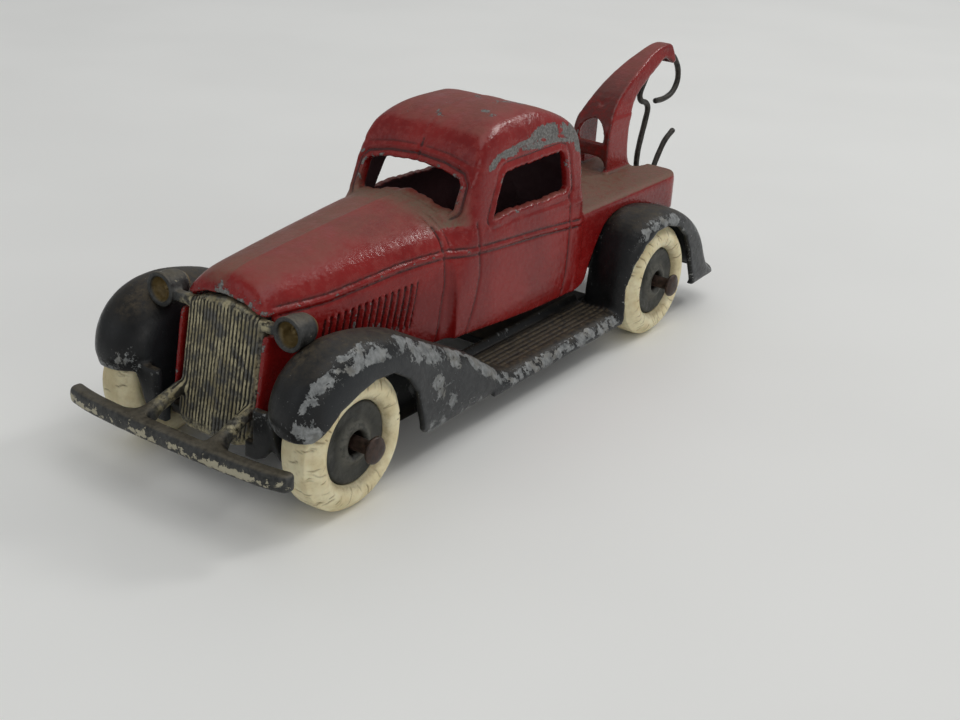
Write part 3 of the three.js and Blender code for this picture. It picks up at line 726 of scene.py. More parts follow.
hood_half_width = through([(42.2, 6.5), (38.6, 6.8), (36, 7.0), (32, 7.4), (22, 8.5), (12, 9.6), (5, 10.25),
                           (1, 10.42), (-8, SIDE_Y), (-46, SIDE_Y)])
hood_crest = through([(41, 19.2), (40.3, 21.4), (39.4, 23.4), (38.4, 24.15), (37, 24.6), (34.5, 24.95), (29, 25.5),
                      (22.5, 26.1), (17.4, 26.5), (14, 26.75), (10, 26.95), (0, 27.0), (-19, 27.0)])
hood_shoulder = through([(42, 17.3), (38.6, 18), (35, 19), (22, 20.2), (10, 21), (-19, 21)])
hood_power = through([(42, 2.5), (34, 2.4), (20, 2.2), (9, 2.1), (-19, 2.1)])
nose_front = through([(2, 42.7), (8.4, 41.85), (18, 40.25), (21.5, 39.6), (23, 39.25), (26, 38.6)])
lower_edge = through([(-47, 14.1), (-44.7, 14.5), (-40, 16.1), (-34, 17.6), (-29.7, 18.1), (-27, 17.9), (-24.6, 16.8),
                      (-22.4, 14.0), (-20.9, 11.4), (-19.7, 9.4), (-16.3, 8.8), (-8.7, 9.0), (-1.5, 9.5), (5, 10.1),
                      (12.5, 10.5), (30, 9.4), (42, 8.4)])
BELT = [(37.2, 21.3), (30.8, 21.05), (25.5, 21.4), (19.9, 21.8), (16, 21.85), (12.3, 21.75), (5.9, 21.1),
        (1.9, 20.8), (-7.3, 20.1), (-18.5, 18.9)]
CREASES = {
    "cowl": [(12, 24.6), (12, 18), (12.6, 14.9), (13.1, 10)],
    "door_front": [(6.2, 24.4), (6.2, 17.8), (6.9, 14.7), (7.8, 12), (8.2, 10.4)],
    "door_rear": [(-14.6, 23.6), (-14.4, 14), (-14.2, 8.6)],
}
SIDE_WINDOW = [(2.9, 24.2), (0.35, 29.0), (-0.2, 29.35), (-0.9, 29.45), (-12.6, 29.55), (-13.6, 29.2), (-13.95, 28.5),
               (-14.35, 24.6), (-14.0, 24.15), (-8.3, 24.05), (-1.3, 24.4)]
WINDSHIELD = [(0, 26.9), (2.8, 26.5), (4.6, 26.0), (7.1, 25.65), (7.5, 26.0), (7.45, 28.7), (6.9, 29.35),
              (4.0, 29.95), (0, 30.2), (-1, 30.2), (-1, 26.9)]
WINDSHIELD_FOOT = (8.2, 26.2)
WINDSHIELD_RAKE = 0.526
ROOF_TOP_Z = 36.4
DERRICK_FRONT = [(-36.35, 19), (-36.3, 23), (-36.4, 26.2), (-37.5, 28.3), (-39.9, 30.5), (-43, 32.35), (-46.5, 33.95),
                 (-49.5, 35.1), (-52.6, 36.0), (-55.2, 36.38), (-57.2, 36.2), (-57.9, 35.5)]
DERRICK_REAR = [(-57.9, 33.6), (-57.2, 33.3), (-56.2, 33.9), (-55.2, 34.35), (-53.9, 34.2), (-52.5, 33.6),
                (-49.7, 32.5), (-47.5, 31.5), (-46, 30.7), (-44.9, 29.95), (-43.8, 28.9), (-43.1, 27.7),
                (-42.5, 26.1), (-42.55, 22.2), (-43.3, 20.4), (-43.5, 19)]
derrick_half_width = through([(19, 3.2), (27, 3.1), (28.3, 2.85), (29.5, 2.62), (30.6, 2.4), (32.6, 2.1), (34.3, 1.7),
                              (35.3, 1.35), (36.4, 1.2)])


def lower_body(g):
    """Hood, cowl and doors: one long form whose section changes along X."""
    x, y, z = g.x, g.y, g.z
    width = hood_half_width(x) - 0.75 * ramp(-z, -14.5, -8.0) ** 2 * (x < 34) - 0.3 * ramp(z, 17, 23)
    rise = hood_crest(x) - hood_shoulder(x)
    up = np.maximum(z - hood_shoulder(x), 0)
    share = squashed(y / width, up / rise, hood_power(x))
    reach = np.sqrt(y**2 + up**2)
    form = reach * (1 - 1 / np.maximum(share, 1e-3))
    form = common(form, x - nose_front(z), 0.9)
    return common(form, CAB_REAR_X - x, 1.2)


roof_fall_along = through([(9.5, 10), (7.4, 7.2), (6.5, 5.2), (5.6, 3.6), (3.6, 2.15), (0.5, 0.75), (-3, 0.05),
                           (-6.5, 0.1), (-10, 0.85), (-13.5, 2.05), (-16, 3.3), (-17.5, 4.9), (-18.4, 7.4),
                           (-19.5, 12)])
roof_fall_across = through([(0, 0), (2, 0.03), (4, 0.12), (6.5, 0.6), (8, 1.7), (9, 3.6), (9.8, 8), (10.6, 14)])
cab_half_width = through([(3, 9.9), (8.5, 9.9), (11, 10.3), (14, SIDE_Y), (19, SIDE_Y), (22.5, 10.2), (25, 9.9),
                          (29.3, 9.5), (31.3, 9.35), (37, 9.3)])
pillar_rounding = through([(20, 3.6), (25, 3.3), (28, 2.4), (31, 1.2), (37, 1.2)])


def roof(g):
    """The roof's crown falls away along and across the cab, and the two falls blend into one dome."""
    blend = 2.5
    x, y = g.x[:, :, 0], g.y[:, :, 0]
    falls = [np.maximum(fall, 0) ** blend for fall in (roof_fall_along(x), roof_fall_across(y))]
    height = ROOF_TOP_Z - (falls[0] + falls[1]) ** (1 / blend)
    slope_x, slope_y = np.gradient(height, g.step)
    flatten = 1 / np.sqrt(1 + np.minimum(slope_x**2 + slope_y**2, 9.0))
    return ((g.z - height[:, :, None]) * flatten[:, :, None]).astype(np.float32)


def greenhouse(g):
    """The cab above the doors: a raked windshield and upright sides, with rounded pillars, under the roof."""
    foot_x, foot_z = WINDSHIELD_FOOT
    raked = (g.x - foot_x + WINDSHIELD_RAKE * (g.z - foot_z)) / math.hypot(1, WINDSHIELD_RAKE)
    walls = common(raked, g.y - cab_half_width(g.z), pillar_rounding(g.z))
    corner = [(CAB_REAR_X, 8.6), (-17.9, 9.8), (-16.6, 10.5), (-15, 10.8)]
    walls = np.maximum(walls, g.xy([(-10, -12), (CAB_REAR_X, -12), *corner, (60, 10.8), (60, -12)]))
    walls = np.maximum(walls, g.x - 10.5)
    return common(walls, roof(g), 0.8)


def bed(g):
    section = common(g.y - SIDE_Y, g.z - BED_TOP_Z, 1.5)
    plan = common(BED_REAR_X - g.x, g.y - 10.5, 3.2)
    return np.maximum(common(section, plan, 0.4), g.x - CAB_REAR_X - 1.5)


def derrick(g):
    front = g.xz([*curve(DERRICK_FRONT, 3), (-80, 36), (-80, 19)])
    rear = g.xz([*curve(DERRICK_REAR, 3), (-20, 19), (-20, 50), (-57.9, 50)])
    width = g.y - derrick_half_width(g.z)
    form = common(common(front, rear, 0.25), width, 0.5)
    channel = common(common(front + 0.85, width + 0.72, 0.5), slab(g.x, -57.1, -30), 0.2)
    form = cut(form, np.maximum(channel, BED_TOP_Z - 0.4 - g.z), 0.2)
    opening = curve([(2.05, 24.5), (2.15, 25.6), (1.6, 26.9), (0.8, 27.6), (0, 27.85)], 4)
    hole = np.maximum(g.yz([(-1, 24.5), *opening, (-1, 27.85)]), slab(g.x, -39, -34))
    arch = curve([(2.6, 21.2), (2.3, 21.9), (1.6, 22.3), (0.8, 22.4)], 3)
    arch = np.maximum(g.yz([(-1, 19.9), (2.6, 19.9), *arch, (-1, 22.4)]), slab(g.x, -39, -34))
    dimple = np.sqrt((g.x + 38.6) ** 2 + g.y**2 + (g.z - 30.2) ** 2) - 0.75
    slot = np.maximum(common(g.y - 0.62, slab(g.z, 33.75, 35.85), 0.4), slab(g.x, -60, -56.2))
    for tool in (hole, arch, dimple, slot):
        form = cut(form, tool, 0.25)
    return form


def body_relief(g):
    """How far the pressed-in and raised lines stand out from the plain form."""
    x, y, z = g.x, g.y, g.z
    on_side = ramp(y, 4.5, 6.0)
    belt = np.asarray(BELT)
    v = z - np.interp(x, belt[::-1, 0], belt[::-1, 1]).astype(np.float32)
    here = between(x, -18.2, -16.5, 37.5, 38.8) * on_side
    relief = here * (0.13 * hump(v, 0.22) - 0.14 * hump(np.abs(v) - 0.48, 0.17))
    lean = x + 0.2414 * (z - 19.5)
    share = (lean - 16.5) / 1.05
    phase = share - np.floor(share)
    blade = between(phase, 0.05, 0.5, 0.64, 1.0)
    top, bottom = 19.5 - (lean - 16.8) * 0.05, 13.9 + (lean - 16.8) * 0.17
    field = between(lean, 16.35, 16.6, 31.1, 31.4) * ramp(z - bottom, -0.15, 0.35) * ramp(top - z, -0.2, 0.3)
    relief = relief + on_side * field * (0.5 * blade - 0.32)
    for line in CREASES.values():
        relief = relief - 0.17 * hump(line_distance(x, z, line), 0.2) * on_side
    sill = line_distance(x, z, [(4.2, 23.45), (-4.5, 23.0), (-11.8, 22.5), (-17.5, 22.0)])
    relief = relief + 0.13 * hump(sill, 0.3) * on_side
    cowl = hump(x - 12.1, 0.2) + hump(x - 10.9, 0.2)
    relief = relief - 0.14 * cowl * ramp(z, 21.8, 22.6) * ramp(y, 5.0, 6.2)
    centre = hump(y, 0.3) * (0.11 * ramp(z, 33, 34.5) + 0.13 * between(x, 9, 12, 36, 39) * ramp(z, 22, 23))
    frame = g.yz(WINDSHIELD)
    ahead = between(x, 3.6, 4.6, 8.8, 9.6) * between(z, 24.6, 25.4, 32.6, 33.4)
    rims = 0.2 * hump(frame - 0.3, 0.26) - 0.14 * hump(frame - 0.85, 0.25) + 0.14 * hump(frame - 1.4, 0.3)
    relief = relief + centre + ahead * (rims - 0.16 * hump(y, 0.25) * (z > 29))
    brow = hump(z - (32.1 - 0.014 * y**2), 0.28)
    relief = relief - 0.08 * brow * ramp(x, 4.2, 5.2)
    surround = g.xz(SIDE_WINDOW)
    beside = ramp(y, 7.5, 8.6) * ramp(-z, -31.4, -30.6) * ramp(z, 22.6, 23.4)
    relief = relief + beside * (0.12 * hump(surround - 0.35, 0.25) - 0.2 * hump(surround - 1.2, 0.22))
    drip = hump(z - (31.9 - 0.012 * (x + 7) ** 2), 0.24) * ramp(y, 8.0, 8.8)
    drip = drip * ramp(-x, -3.5, -2.5) * ramp(x, -15.5, -14.5)
    return relief - 0.14 * drip


def body_field(g):
    x, y, z = g.x, g.y, g.z
    plain = join(lower_body(g), greenhouse(g), 1.3)
    plain = join(plain, bed(g), 0.6)
    hollow = plain + WALL
    solid = plain - body_relief(g)
    ragged = 0.09 * np.sin(2.1 * x + 1.0) * np.sin(0.9 * x) + 0.05 * np.sin(4.7 * x + 2.0 * z)
    side_window = np.maximum(g.xz(SIDE_WINDOW) + ragged, 6.2 - y)
    windshield = np.maximum(g.yz(WINDSHIELD) + 0.07 * np.sin(3.1 * y + 0.5) * np.sin(1.3 * y), slab(x, 3.0, 9.4))
    solid = cut(solid, side_window, 0.35)
    solid = cut(solid, windshield, 0.35)
    grille_gap = g.yz([(-1, 2), (5.97, 2), (5.97, 19.5), (5.45, 20.85), (3.1, 21.75), (0, 22.1), (-1, 22.1)])
    solid = cut(solid, np.maximum(grille_gap, 36 - x), 0.25)
    lamp_notch = np.maximum(slab(z, 19.0, 20.9), np.maximum(38.3 - x, y - 8))
    solid = cut(solid, lamp_notch, 0.3)
    solid = cut(solid, hollow, 0.3)
    solid = common(solid, lower_edge(x) - z, 0.35)
    solid = join(solid, derrick(g), 0.7)
    derrick_mouth = g.xy([(-43.4, -1), (-43.4, 3.1), (-43.9, 4.1), (-45.2, 4.5), (-50, 4.6), (-50, -1)])
    solid = cut(solid, np.maximum(derrick_mouth, z - 25), 0.5)
    for axle_x, y_low, y_high, top in ((FRONT_AXLE_X, 5.4, 6.6, 17), (REAR_AXLE_X, 6.6, 7.8, 19.6)):
        lug = common(slab(x, axle_x - 2.2, axle_x + 2.2), slab(z, 6.3, top), 1.0)
        solid = join(solid, np.maximum(lug, slab(y, y_low, y_high)), 0.4)
        solid = cut(solid, np.maximum(rod_along_y(g, axle_x, AXLE_Z, BORE_RADIUS), y - 9), 0.05)
    return solid, hollow


def body_casting(material):
    grid = Grid((-58.7, 0, 5.6), (42.8, 11.1, 37.1), FIELD_STEP)
    solid, hollow = body_field(grid)
    item, places, cells = cast("body_shell", grid, solid, MOST_TRIANGLES)
    x, y, z = places.T
    set_attribute(item, "inner", ramp(-sample(both_halves(hollow), cells), -0.25, 0.05) * (x > -47))
    under_glass = between(x, 6.5, 9.0, 10.5, 14.5) * (z > 24.4) * (z < 28.2)
    far_hood = 0.55 * ramp(-y, 0.0, 0.15) * ramp(y, -6.5, -4.0) * ramp(x, 10, 13) * ramp(z, 22.5, 23.5)
    bed_top = 0.95 * ramp(-x, 18.4, 19.4) * ramp(-x, -44, -30) * (z > 19.6) * (z < 20.4)
    set_attribute(item, "dust", np.clip(under_glass + far_hood + bed_top, 0, 1))
    # The belt grooves and crease lines, which the red enamel darkens: grime and painted shade.
    belt = np.asarray(BELT)
    above = z - np.interp(x, belt[::-1, 0], belt[::-1, 1])
    groove_grime_and_shade = 0.8 * hump(np.abs(above) - 0.48, 0.16) * between(x, -18.2, -17, 37, 38.5)
    for line in CREASES.values():
        groove_grime_and_shade = np.maximum(groove_grime_and_shade, hump(line_distance(x, z, line), 0.17))
    set_attribute(item, "groove_grime_and_shade", 0.5 * groove_grime_and_shade * ramp(np.abs(y), 5.0, 6.5))
    # Forward-facing faces of the derrick, which the red enamel darkens: painted shade, with some stain.
    facing = normals_of(item)[:, 0]
    set_attribute(item, "stain_and_shade", 0.75 * (x < -35.5) * (z > 20.6) * ramp(facing, 0.2, 0.6))
    edge_line = line_distance(x, z, [(3.2, 30.6), (1.6, 31.4), (-1.5, 31.8), (-5.5, 32.1), (-9, 32.4), (-13, 32.2),
                                     (-16.6, 31.2), (-18.4, 28.5)])
    thick = 0.6 + 0.9 * ramp(-x, 3.5, 7.5) * ramp(x, -18.5, -15.5)
    roof_edge = ramp(1.5 * thick - edge_line, 0, 1.1 * thick) * ramp(np.abs(y), 5.0, 6.5) * np.where(y > 0, 1.25, 0.5)
    nose = hump(x - 39.2, 0.9) * hump(z - 22.6, 1.1) * ramp(value_noise(places, 1.6, 12), -0.4, 0.3)
    pillar = hump(x - 6.6, 1.2) * hump(np.abs(y) - 8, 0.7) * hump(z - 28, 2.6)
    spots = 0.9 * ramp(value_noise(places, 1.5, 14), 0.35, 0.6) * ramp(z, 32.5, 33.5) * (x > -12) * (x < 6)
    patches = roof_edge + 0.55 * nose + 0.35 * pillar + spots
    set_attribute(item, "worn", np.clip(patches * (0.85 + 0.35 * value_noise(places, 1.6, 3)), 0, 1.25))
    dress(item, material, "truck", "body_casting")


# ---- Chassis casting ----

FENDER_IN_Y = 9.3
SKIRT_Z = 4.25
FRONT_CREST = [(44.1, 3), (44.15, 9), (44.7, 11), (45.2, 13), (44.5, 15.6), (42.6, 18), (40, 19.5), (37, 20.1),
               (33.5, 19.9), (29, 18.8), (26, 17.4), (22, 15.3), (18, 13.3), (14, 11.2), (10, 8.6), (7, 6.7),
               (4, 5.3), (2, 3)]
REAR_CREST = [(-21.5, 3), (-21.55, 6), (-21.8, 9), (-22.3, 12.3), (-23.5, 15.4), (-25.5, 17.5), (-28.5, 18.6),
              (-32, 18.55), (-36, 17.65), (-40, 15.95), (-43, 13.9), (-45.2, 11.6), (-46.7, 9.2), (-48, 7.2),
              (-49.5, 5.9), (-51, 5.1), (-51, 3)]
FRONT_ARCH = [(24.1, 0), (23.2, 4.2), (24.6, 5.4), (25.6, 8.4), (26.5, 11.2), (28.4, 13.5), (31.3, 15.2),
              (34.7, 15.55), (37.5, 14.95), (40.4, 13.9), (42.4, 12.0), (43.4, 11.0), (44.4, 10.8), (48, 10.7),
              (48, 0)]
REAR_ARCH = [(-22.7, 0), (-22.75, 9), (-23.8, 12.4), (-25.8, 14.9), (-28.6, 16.3), (-31.6, 16.45), (-35, 15.5),
             (-37.8, 13.4), (-39.6, 10.5), (-40.6, 8.2), (-42.5, 4.4), (-42.5, 0)]
front_side_y = through([(45.3, 16.3), (44.4, 17.0), (42, 17.5), (36, 17.6), (28, 17.2), (22, 16.6), (12, 16.1),
                        (4, 15.8)])
rear_side_y = through([(-21, 16.0), (-24, 16.6), (-30, 16.95), (-36, 16.95), (-42, 16.6), (-50.6, 16.2)])


def fender(g, crest, side_y, crown_y, drops, powers):
    """A crown swept along the crest. drops are how far it falls to the inner wall and to the side."""
    depth = -g.xz(curve(crest, 4))
    out = g.y > crown_y
    half = np.where(out, side_y(g.x) - crown_y, crown_y - FENDER_IN_Y)
    drop = np.where(out, drops[1], drops[0]).astype(np.float32)
    power = np.where(out, powers[1], powers[0]).astype(np.float32)
    across = np.abs(g.y - crown_y)
    rise = np.maximum(drop - depth, 0)
    share = squashed(across / half, rise / drop, power)
    reach = np.sqrt(across**2 + rise**2)
    sides = reach * (1 - 1 / np.maximum(share, 1e-3))
    return np.maximum(sides, -depth)


def wheel_cover(g, form, arch, inner_cut=None):
    hollow = np.maximum(form + FENDER_WALL, 0.9 - g.z)
    shell = cut(form, hollow, 0.3)
    shell = cut(shell, np.maximum(g.xz(arch), FENDER_IN_Y + FENDER_WALL + 0.1 - g.y), 0.35)
    if inner_cut is not None:
        shell = cut(shell, np.maximum(inner_cut, g.y - 11), 0.4)
    return common(shell, SKIRT_Z - g.z, 0.3), hollow


def running_board(g):
    y, z = g.y, g.z
    ribs = 0.09 * np.cos(2 * np.pi * (y - 8.9) / 0.82) * between(y, 8.9, 9.4, 13.6, 14.0)
    top = 5.75 - 1.5 * ramp(y, 13.9, 16.3) ** 1.4 + 0.75 * hump(y - 7.7, 0.55) - 0.25 * hump(y - 8.6, 0.3) + ribs
    form = common(z - top, top - 0.95 - z, 0.3)
    form = common(form, slab(y, 7.0, 15.75), 0.4)
    return np.maximum(form, slab(g.x, -22.3, 9.0))


def chassis_field(g):
    x, y, z = g.x, g.y, g.z
    front = fender(g, FRONT_CREST, front_side_y, 14.0, (3.6, 4.4), (2.0, 2.25))
    rear = fender(g, REAR_CREST, rear_side_y, 12.9, (1.0, 2.9), (2.0, 2.6))
    nose_cut = g.xz([(48, 0), (48, 10.4), (43.3, 9.4), (42.4, 7.4), (41.4, 5.7), (33, 5.4), (28, 4.6), (26, 0)])
    front, hollow_front = wheel_cover(g, front, FRONT_ARCH, nose_cut)
    rear, hollow_rear = wheel_cover(g, rear, REAR_ARCH)
    apron = common(slab(x, 42.15, 43.2), g.yz([(6.1, 5.9), (7.6, 5.95), (8.7, 6.4), (9.5, 7.4), (9.9, 8.6),
                                                       (10.4, 12), (7.3, 12), (7.3, 8.0), (6.1, 8.0)]), 0.4)
    form = join(front, running_board(g), 0.7)
    form = join(form, rear, 0.6)
    form = join(form, apron, 0.8)
    pan = common(slab(z, 4.2, 5.4), np.maximum(slab(x, -26, -2), y - 8), 0.3)
    sill = common(slab(z, 4.7, 6.4), np.maximum(slab(x, 7, 29), slab(y, 7.6, 9.7)), 0.3)
    front_bar = common(slab(z, 4.7, 6.0), np.maximum(slab(x, 33, 39), y - 9.7), 0.3)
    rear_bar = common(slab(z, 4.3, 5.8), np.maximum(slab(x, -46.5, -43.5), y - 9.7), 0.3)
    for part in (pan, sill, front_bar, rear_bar):
        form = join(form, part, 0.4)
    for axle_x in (FRONT_AXLE_X, REAR_AXLE_X):
        form = cut(form, np.maximum(rod_along_y(g, axle_x, AXLE_Z, BORE_RADIUS), y - 11), 0.05)
    return form, np.minimum(hollow_front, hollow_rear)


def chassis_casting(material):
    grid = Grid((-51.2, 0, 3.6), (45.8, 18.2, 20.8), FIELD_STEP)
    solid, hollow = chassis_field(grid)
    item, places, cells = cast("chassis_frame", grid, solid, MOST_TRIANGLES)
    x, y, z = places.T
    side = np.abs(y)
    normal = normals_of(item)
    set_attribute(item, "inner", ramp(-sample(both_halves(hollow), cells), -0.2, 0.1) * (side < 15.2))
    shoulder = ramp(np.abs(normal[:, 1]), 0.28, 0.6) * ramp(normal[:, 2], 0.12, 0.4) * (side > 14.5)
    chin = np.exp(-(((x - 44) / 1.8) ** 2 + ((z - 12) / 2.0) ** 2))
    skirt = (x > 4) * (x < 27) * (z < 14) * ramp(value_noise(places, 4.5, 31), 0.0, 0.5) * 0.8
    edge_of_board = ramp(side, 14.4, 15.4) * (x < 8) * (x > -22) * 0.42
    lip = ramp(side, 15.6, 16.4) * (x < -21) * (x > -48) * 0.38
    near = 1.0 - 0.25 * (y < 0)
    worn = (shoulder * (0.2 + 0.8 * (x > 8) + 0.4 * (x < -21)) + chin + skirt + edge_of_board + lip) * near
    set_attribute(item, "worn", np.clip(worn * (0.8 + 0.55 * value_noise(places, 2.6, 5)), 0, 1.1))
    board = (x > -21.5) * (x < 7) * ramp(-z, -6.3, -5.6) * (normal[:, 2] > 0.4) * ramp(side, 8.6, 9.4)
    board = board * ramp(-side, -14.8, -13.8)
    crown = (x > 8) * ramp(normal[:, 2], 0.5, 0.9) * ramp(-side, -14.8, -12.5) * 0.6
    set_attribute(item, "dust", np.clip(board + crown, 0, 1))
    dress(item, material, "truck", "chassis_casting")


# ---- Grille casting ----

RIB_PITCH = 10.9 / 21
grille_front = through([(5.5, 42.65), (6.2, 42.5), (12.5, 41.3), (18.2, 40.3), (21.7, 39.75)])
bumper_front = through([(0, 49.1), (4, 49.1), (8, 49.0), (11, 48.85), (13.9, 48.55), (16.8, 47.95)])


def bar(g, start, end, thick_start, thick_end):
    """A round bar from one point to another whose radius changes along it."""
    start, along = np.array(start, np.float32), np.subtract(end, start).astype(np.float32)
    dx, dy, dz = g.x - start[0], g.y - start[1], g.z - start[2]
    t = np.clip((dx * along[0] + dy * along[1] + dz * along[2]) / (along @ along), 0, 1)
    away = np.sqrt((dx - t * along[0]) ** 2 + (dy - t * along[1]) ** 2 + (dz - t * along[2]) ** 2)
    return away - (thick_start + (thick_end - thick_start) * t)


def headlamp(g):
    along = g.x - LAMP_X
    away = np.sqrt((g.y - LAMP_Y) ** 2 + (g.z - LAMP_Z) ** 2)
    shell = outline_distance(along, away, [(-4.1, -1), (-4.05, 0.4), (-3.7, 1.15), (-2.9, 1.7), (-1.6, 1.95),
                                           (-0.5, 1.92), (-0.45, 2.02), (0, 2.02), (0.02, -1)])
    bowl = outline_distance(along, away, [(0.5, -1), (0.5, 1.5), (-0.1, 1.48), (-0.8, 1.25), (-1.5, 0.7),
                                          (-1.75, -1)])
    lamp = cut(shell, bowl, 0.15)
    bulb = np.sqrt((along + 1.35) ** 2 + away**2) - 0.42
    return join(lamp, bulb, 0.2)


def grille_field(g):
    x, y, z = g.x, g.y, g.z
    outline = g.yz([(-1, 5.85), (3.6, 5.9), (4.8, 6.3), (5.5, 7.2), (5.68, 8.2), (5.66, 19.3), (5.25, 20.4),
                    (3.2, 21.25), (0, 21.7), (-1, 21.7)])
    ribs = 0.3 * np.sqrt(np.abs(np.cos(np.pi * y / RIB_PITCH))) * ramp(-outline, 0.25, 0.5)
    badge = common(slab(z, 13.0, 15.2), y - 0.75, 0.8)
    front = grille_front(z) - 0.35 * (y / 5.6) ** 2 - 0.3 + ribs
    front = np.where(badge < 0, front + 0.12 * ramp(-badge, 0, 0.3), front)
    plate = common(x - front, front - 1.15 - x, 0.2)
    form = common(plate, outline, 0.3)
    face = bumper_front(y) - 0.22 * ((z - 7.9) / 1.05) ** 2
    beam = common(common(slab(x, face - 1.6, face), slab(z, 6.85, 8.97), 0.5), y - 16.75, 0.9)
    arm = bar(g, (41.7, 5.1, 10.2), (47.6, 5.5, 8.0), 0.75, 0.95)
    foot = bar(g, (46.2, 5.4, 8.3), (48.0, 7.6, 7.9), 0.85, 0.7)
    form = join(form, join(arm, foot, 0.8), 0.7)
    form = join(form, beam, 0.7)
    bracket = common(slab(x, 38.6, 39.7), common(slab(y, 5.0, 8.6), slab(z, 19.35, 20.55), 0.3), 0.3)
    form = join(form, bracket, 0.3)
    form = join(form, headlamp(g), 0.5)
    tongue = common(slab(x, 37.3, 41.9), common(y - 1.4, slab(z, 7.4, 8.8), 0.3), 0.2)
    eye = np.maximum(rod_along_y(g, FRONT_AXLE_X, AXLE_Z, 1.9), y - 1.4)
    form = join(form, join(tongue, eye, 0.3), 0.3)
    return cut(form, np.maximum(rod_along_y(g, FRONT_AXLE_X, AXLE_Z, BORE_RADIUS), y - 3), 0.05)


def grille_casting(material):
    grid = Grid((33.9, 0, 5.4), (49.5, 17.1, 22.8), FINE_STEP)
    item, places, _ = cast("grille_and_bumper", grid, grille_field(grid), MOST_FINE_TRIANGLES, 0.015)
    x, y, z = places.T
    side = np.abs(y)
    lamp = np.sqrt((side - LAMP_Y) ** 2 + (z - LAMP_Z) ** 2)
    set_attribute(item, "dull", np.clip(ramp(x, 44.5, 46.5) + (side > 6.6) * (z > 17), 0, 1))
    # Inside of the lamp bowls: brassy plate with a painted orange reflection.
    set_attribute(item, "lamp_brass_and_reflection", (lamp < 1.5) * ramp(-x, -40.05, -39.6) * (z > 17))
    set_attribute(item, "inner", (x < grille_front(z) - 0.8) * (x < 43) * (side < 6.5) * 1.0)
    low_face = hump(z - 7.7, 0.6) * ramp(x, 46.9, 47.7)
    set_attribute(item, "worn", low_face * (0.75 + 0.5 * value_noise(places, 2.4, 11)))
    # How near each point lies to a rib's crest; the plate paints the valleys near black as painted shade.
    ribbed = (side < 5.35) * (z > 7.2) * (z < 20.8) * (x < 43)
    set_attribute(item, "crest", np.where(ribbed, np.abs(np.cos(np.pi * y / RIB_PITCH)), 0.75) + 0.15 * hump(y, 0.8))
    dress(item, material, "truck", "grille_bumper_casting")


# ---- Wheels, axles and hook ----

def turned(profile, sides):
    """Points (side, place along the profile) of a profile of (height, radius) turned about Y."""
    heights, radii = np.asarray(profile, float).T
    angle = 2 * np.pi * np.arange(sides) / sides
    return np.stack([np.outer(np.sin(angle), radii), np.outer(np.ones(sides), heights),
                     np.outer(np.cos(angle), radii)], axis=2)


def ring_faces(sides, count, closed):
    faces = []
    for i in range(sides):
        j = (i + 1) % sides
        for k in range(count if closed else count - 1):
            m = (k + 1) % count
            faces.append((i * count + k, j * count + k, j * count + m, i * count + m))
    return faces


def outward(points, faces):
    """The faces, turned over if they wind the wrong way."""
    corners = points[np.array([face[:3] for face in faces])]
    volume = np.einsum("ij,ij->i", corners[:, 0], np.cross(corners[:, 1], corners[:, 2])).sum()
    return [face[::-1] for face in faces] if volume < 0 else faces


def add_turned(name, profile, sides, centre, sign, material, body, node, attributes=None, shape=None):
    grid = turned(profile, sides)
    if shape:
        grid = shape(grid)
    points = grid.reshape(-1, 3)
    faces = outward(points, ring_faces(sides, len(profile), True))
    values = {key: value.reshape(-1) for key, value in (attributes or {}).items()}
    points = points * (1, sign, 1)
    if sign < 0:
        faces = [face[::-1] for face in faces]
    item = make_object(name, points + centre, faces, values)
    dress(item, material, body, node)
    return item


def tyre_profile():
    """Height and radius round the tyre's section, from the inner edge of its bore."""
    half, seat, top = 2.75, 4.92, 8.08
    outer = curve([(-half + 0.95, seat), (-half + 0.4, 5.25), (-half, 6.15), (-half + 0.2, 6.9), (-half + 0.95, 7.7),
                   (-1.35, 8.0), (0, top), (1.35, 8.0), (half - 0.95, 7.7), (half - 0.2, 6.9), (half, 6.15),
                   (half - 0.4, 5.25), (half - 0.95, seat)], 5)
    return np.vstack([outer, [(1.2, seat), (0, seat), (-1.2, seat)]])


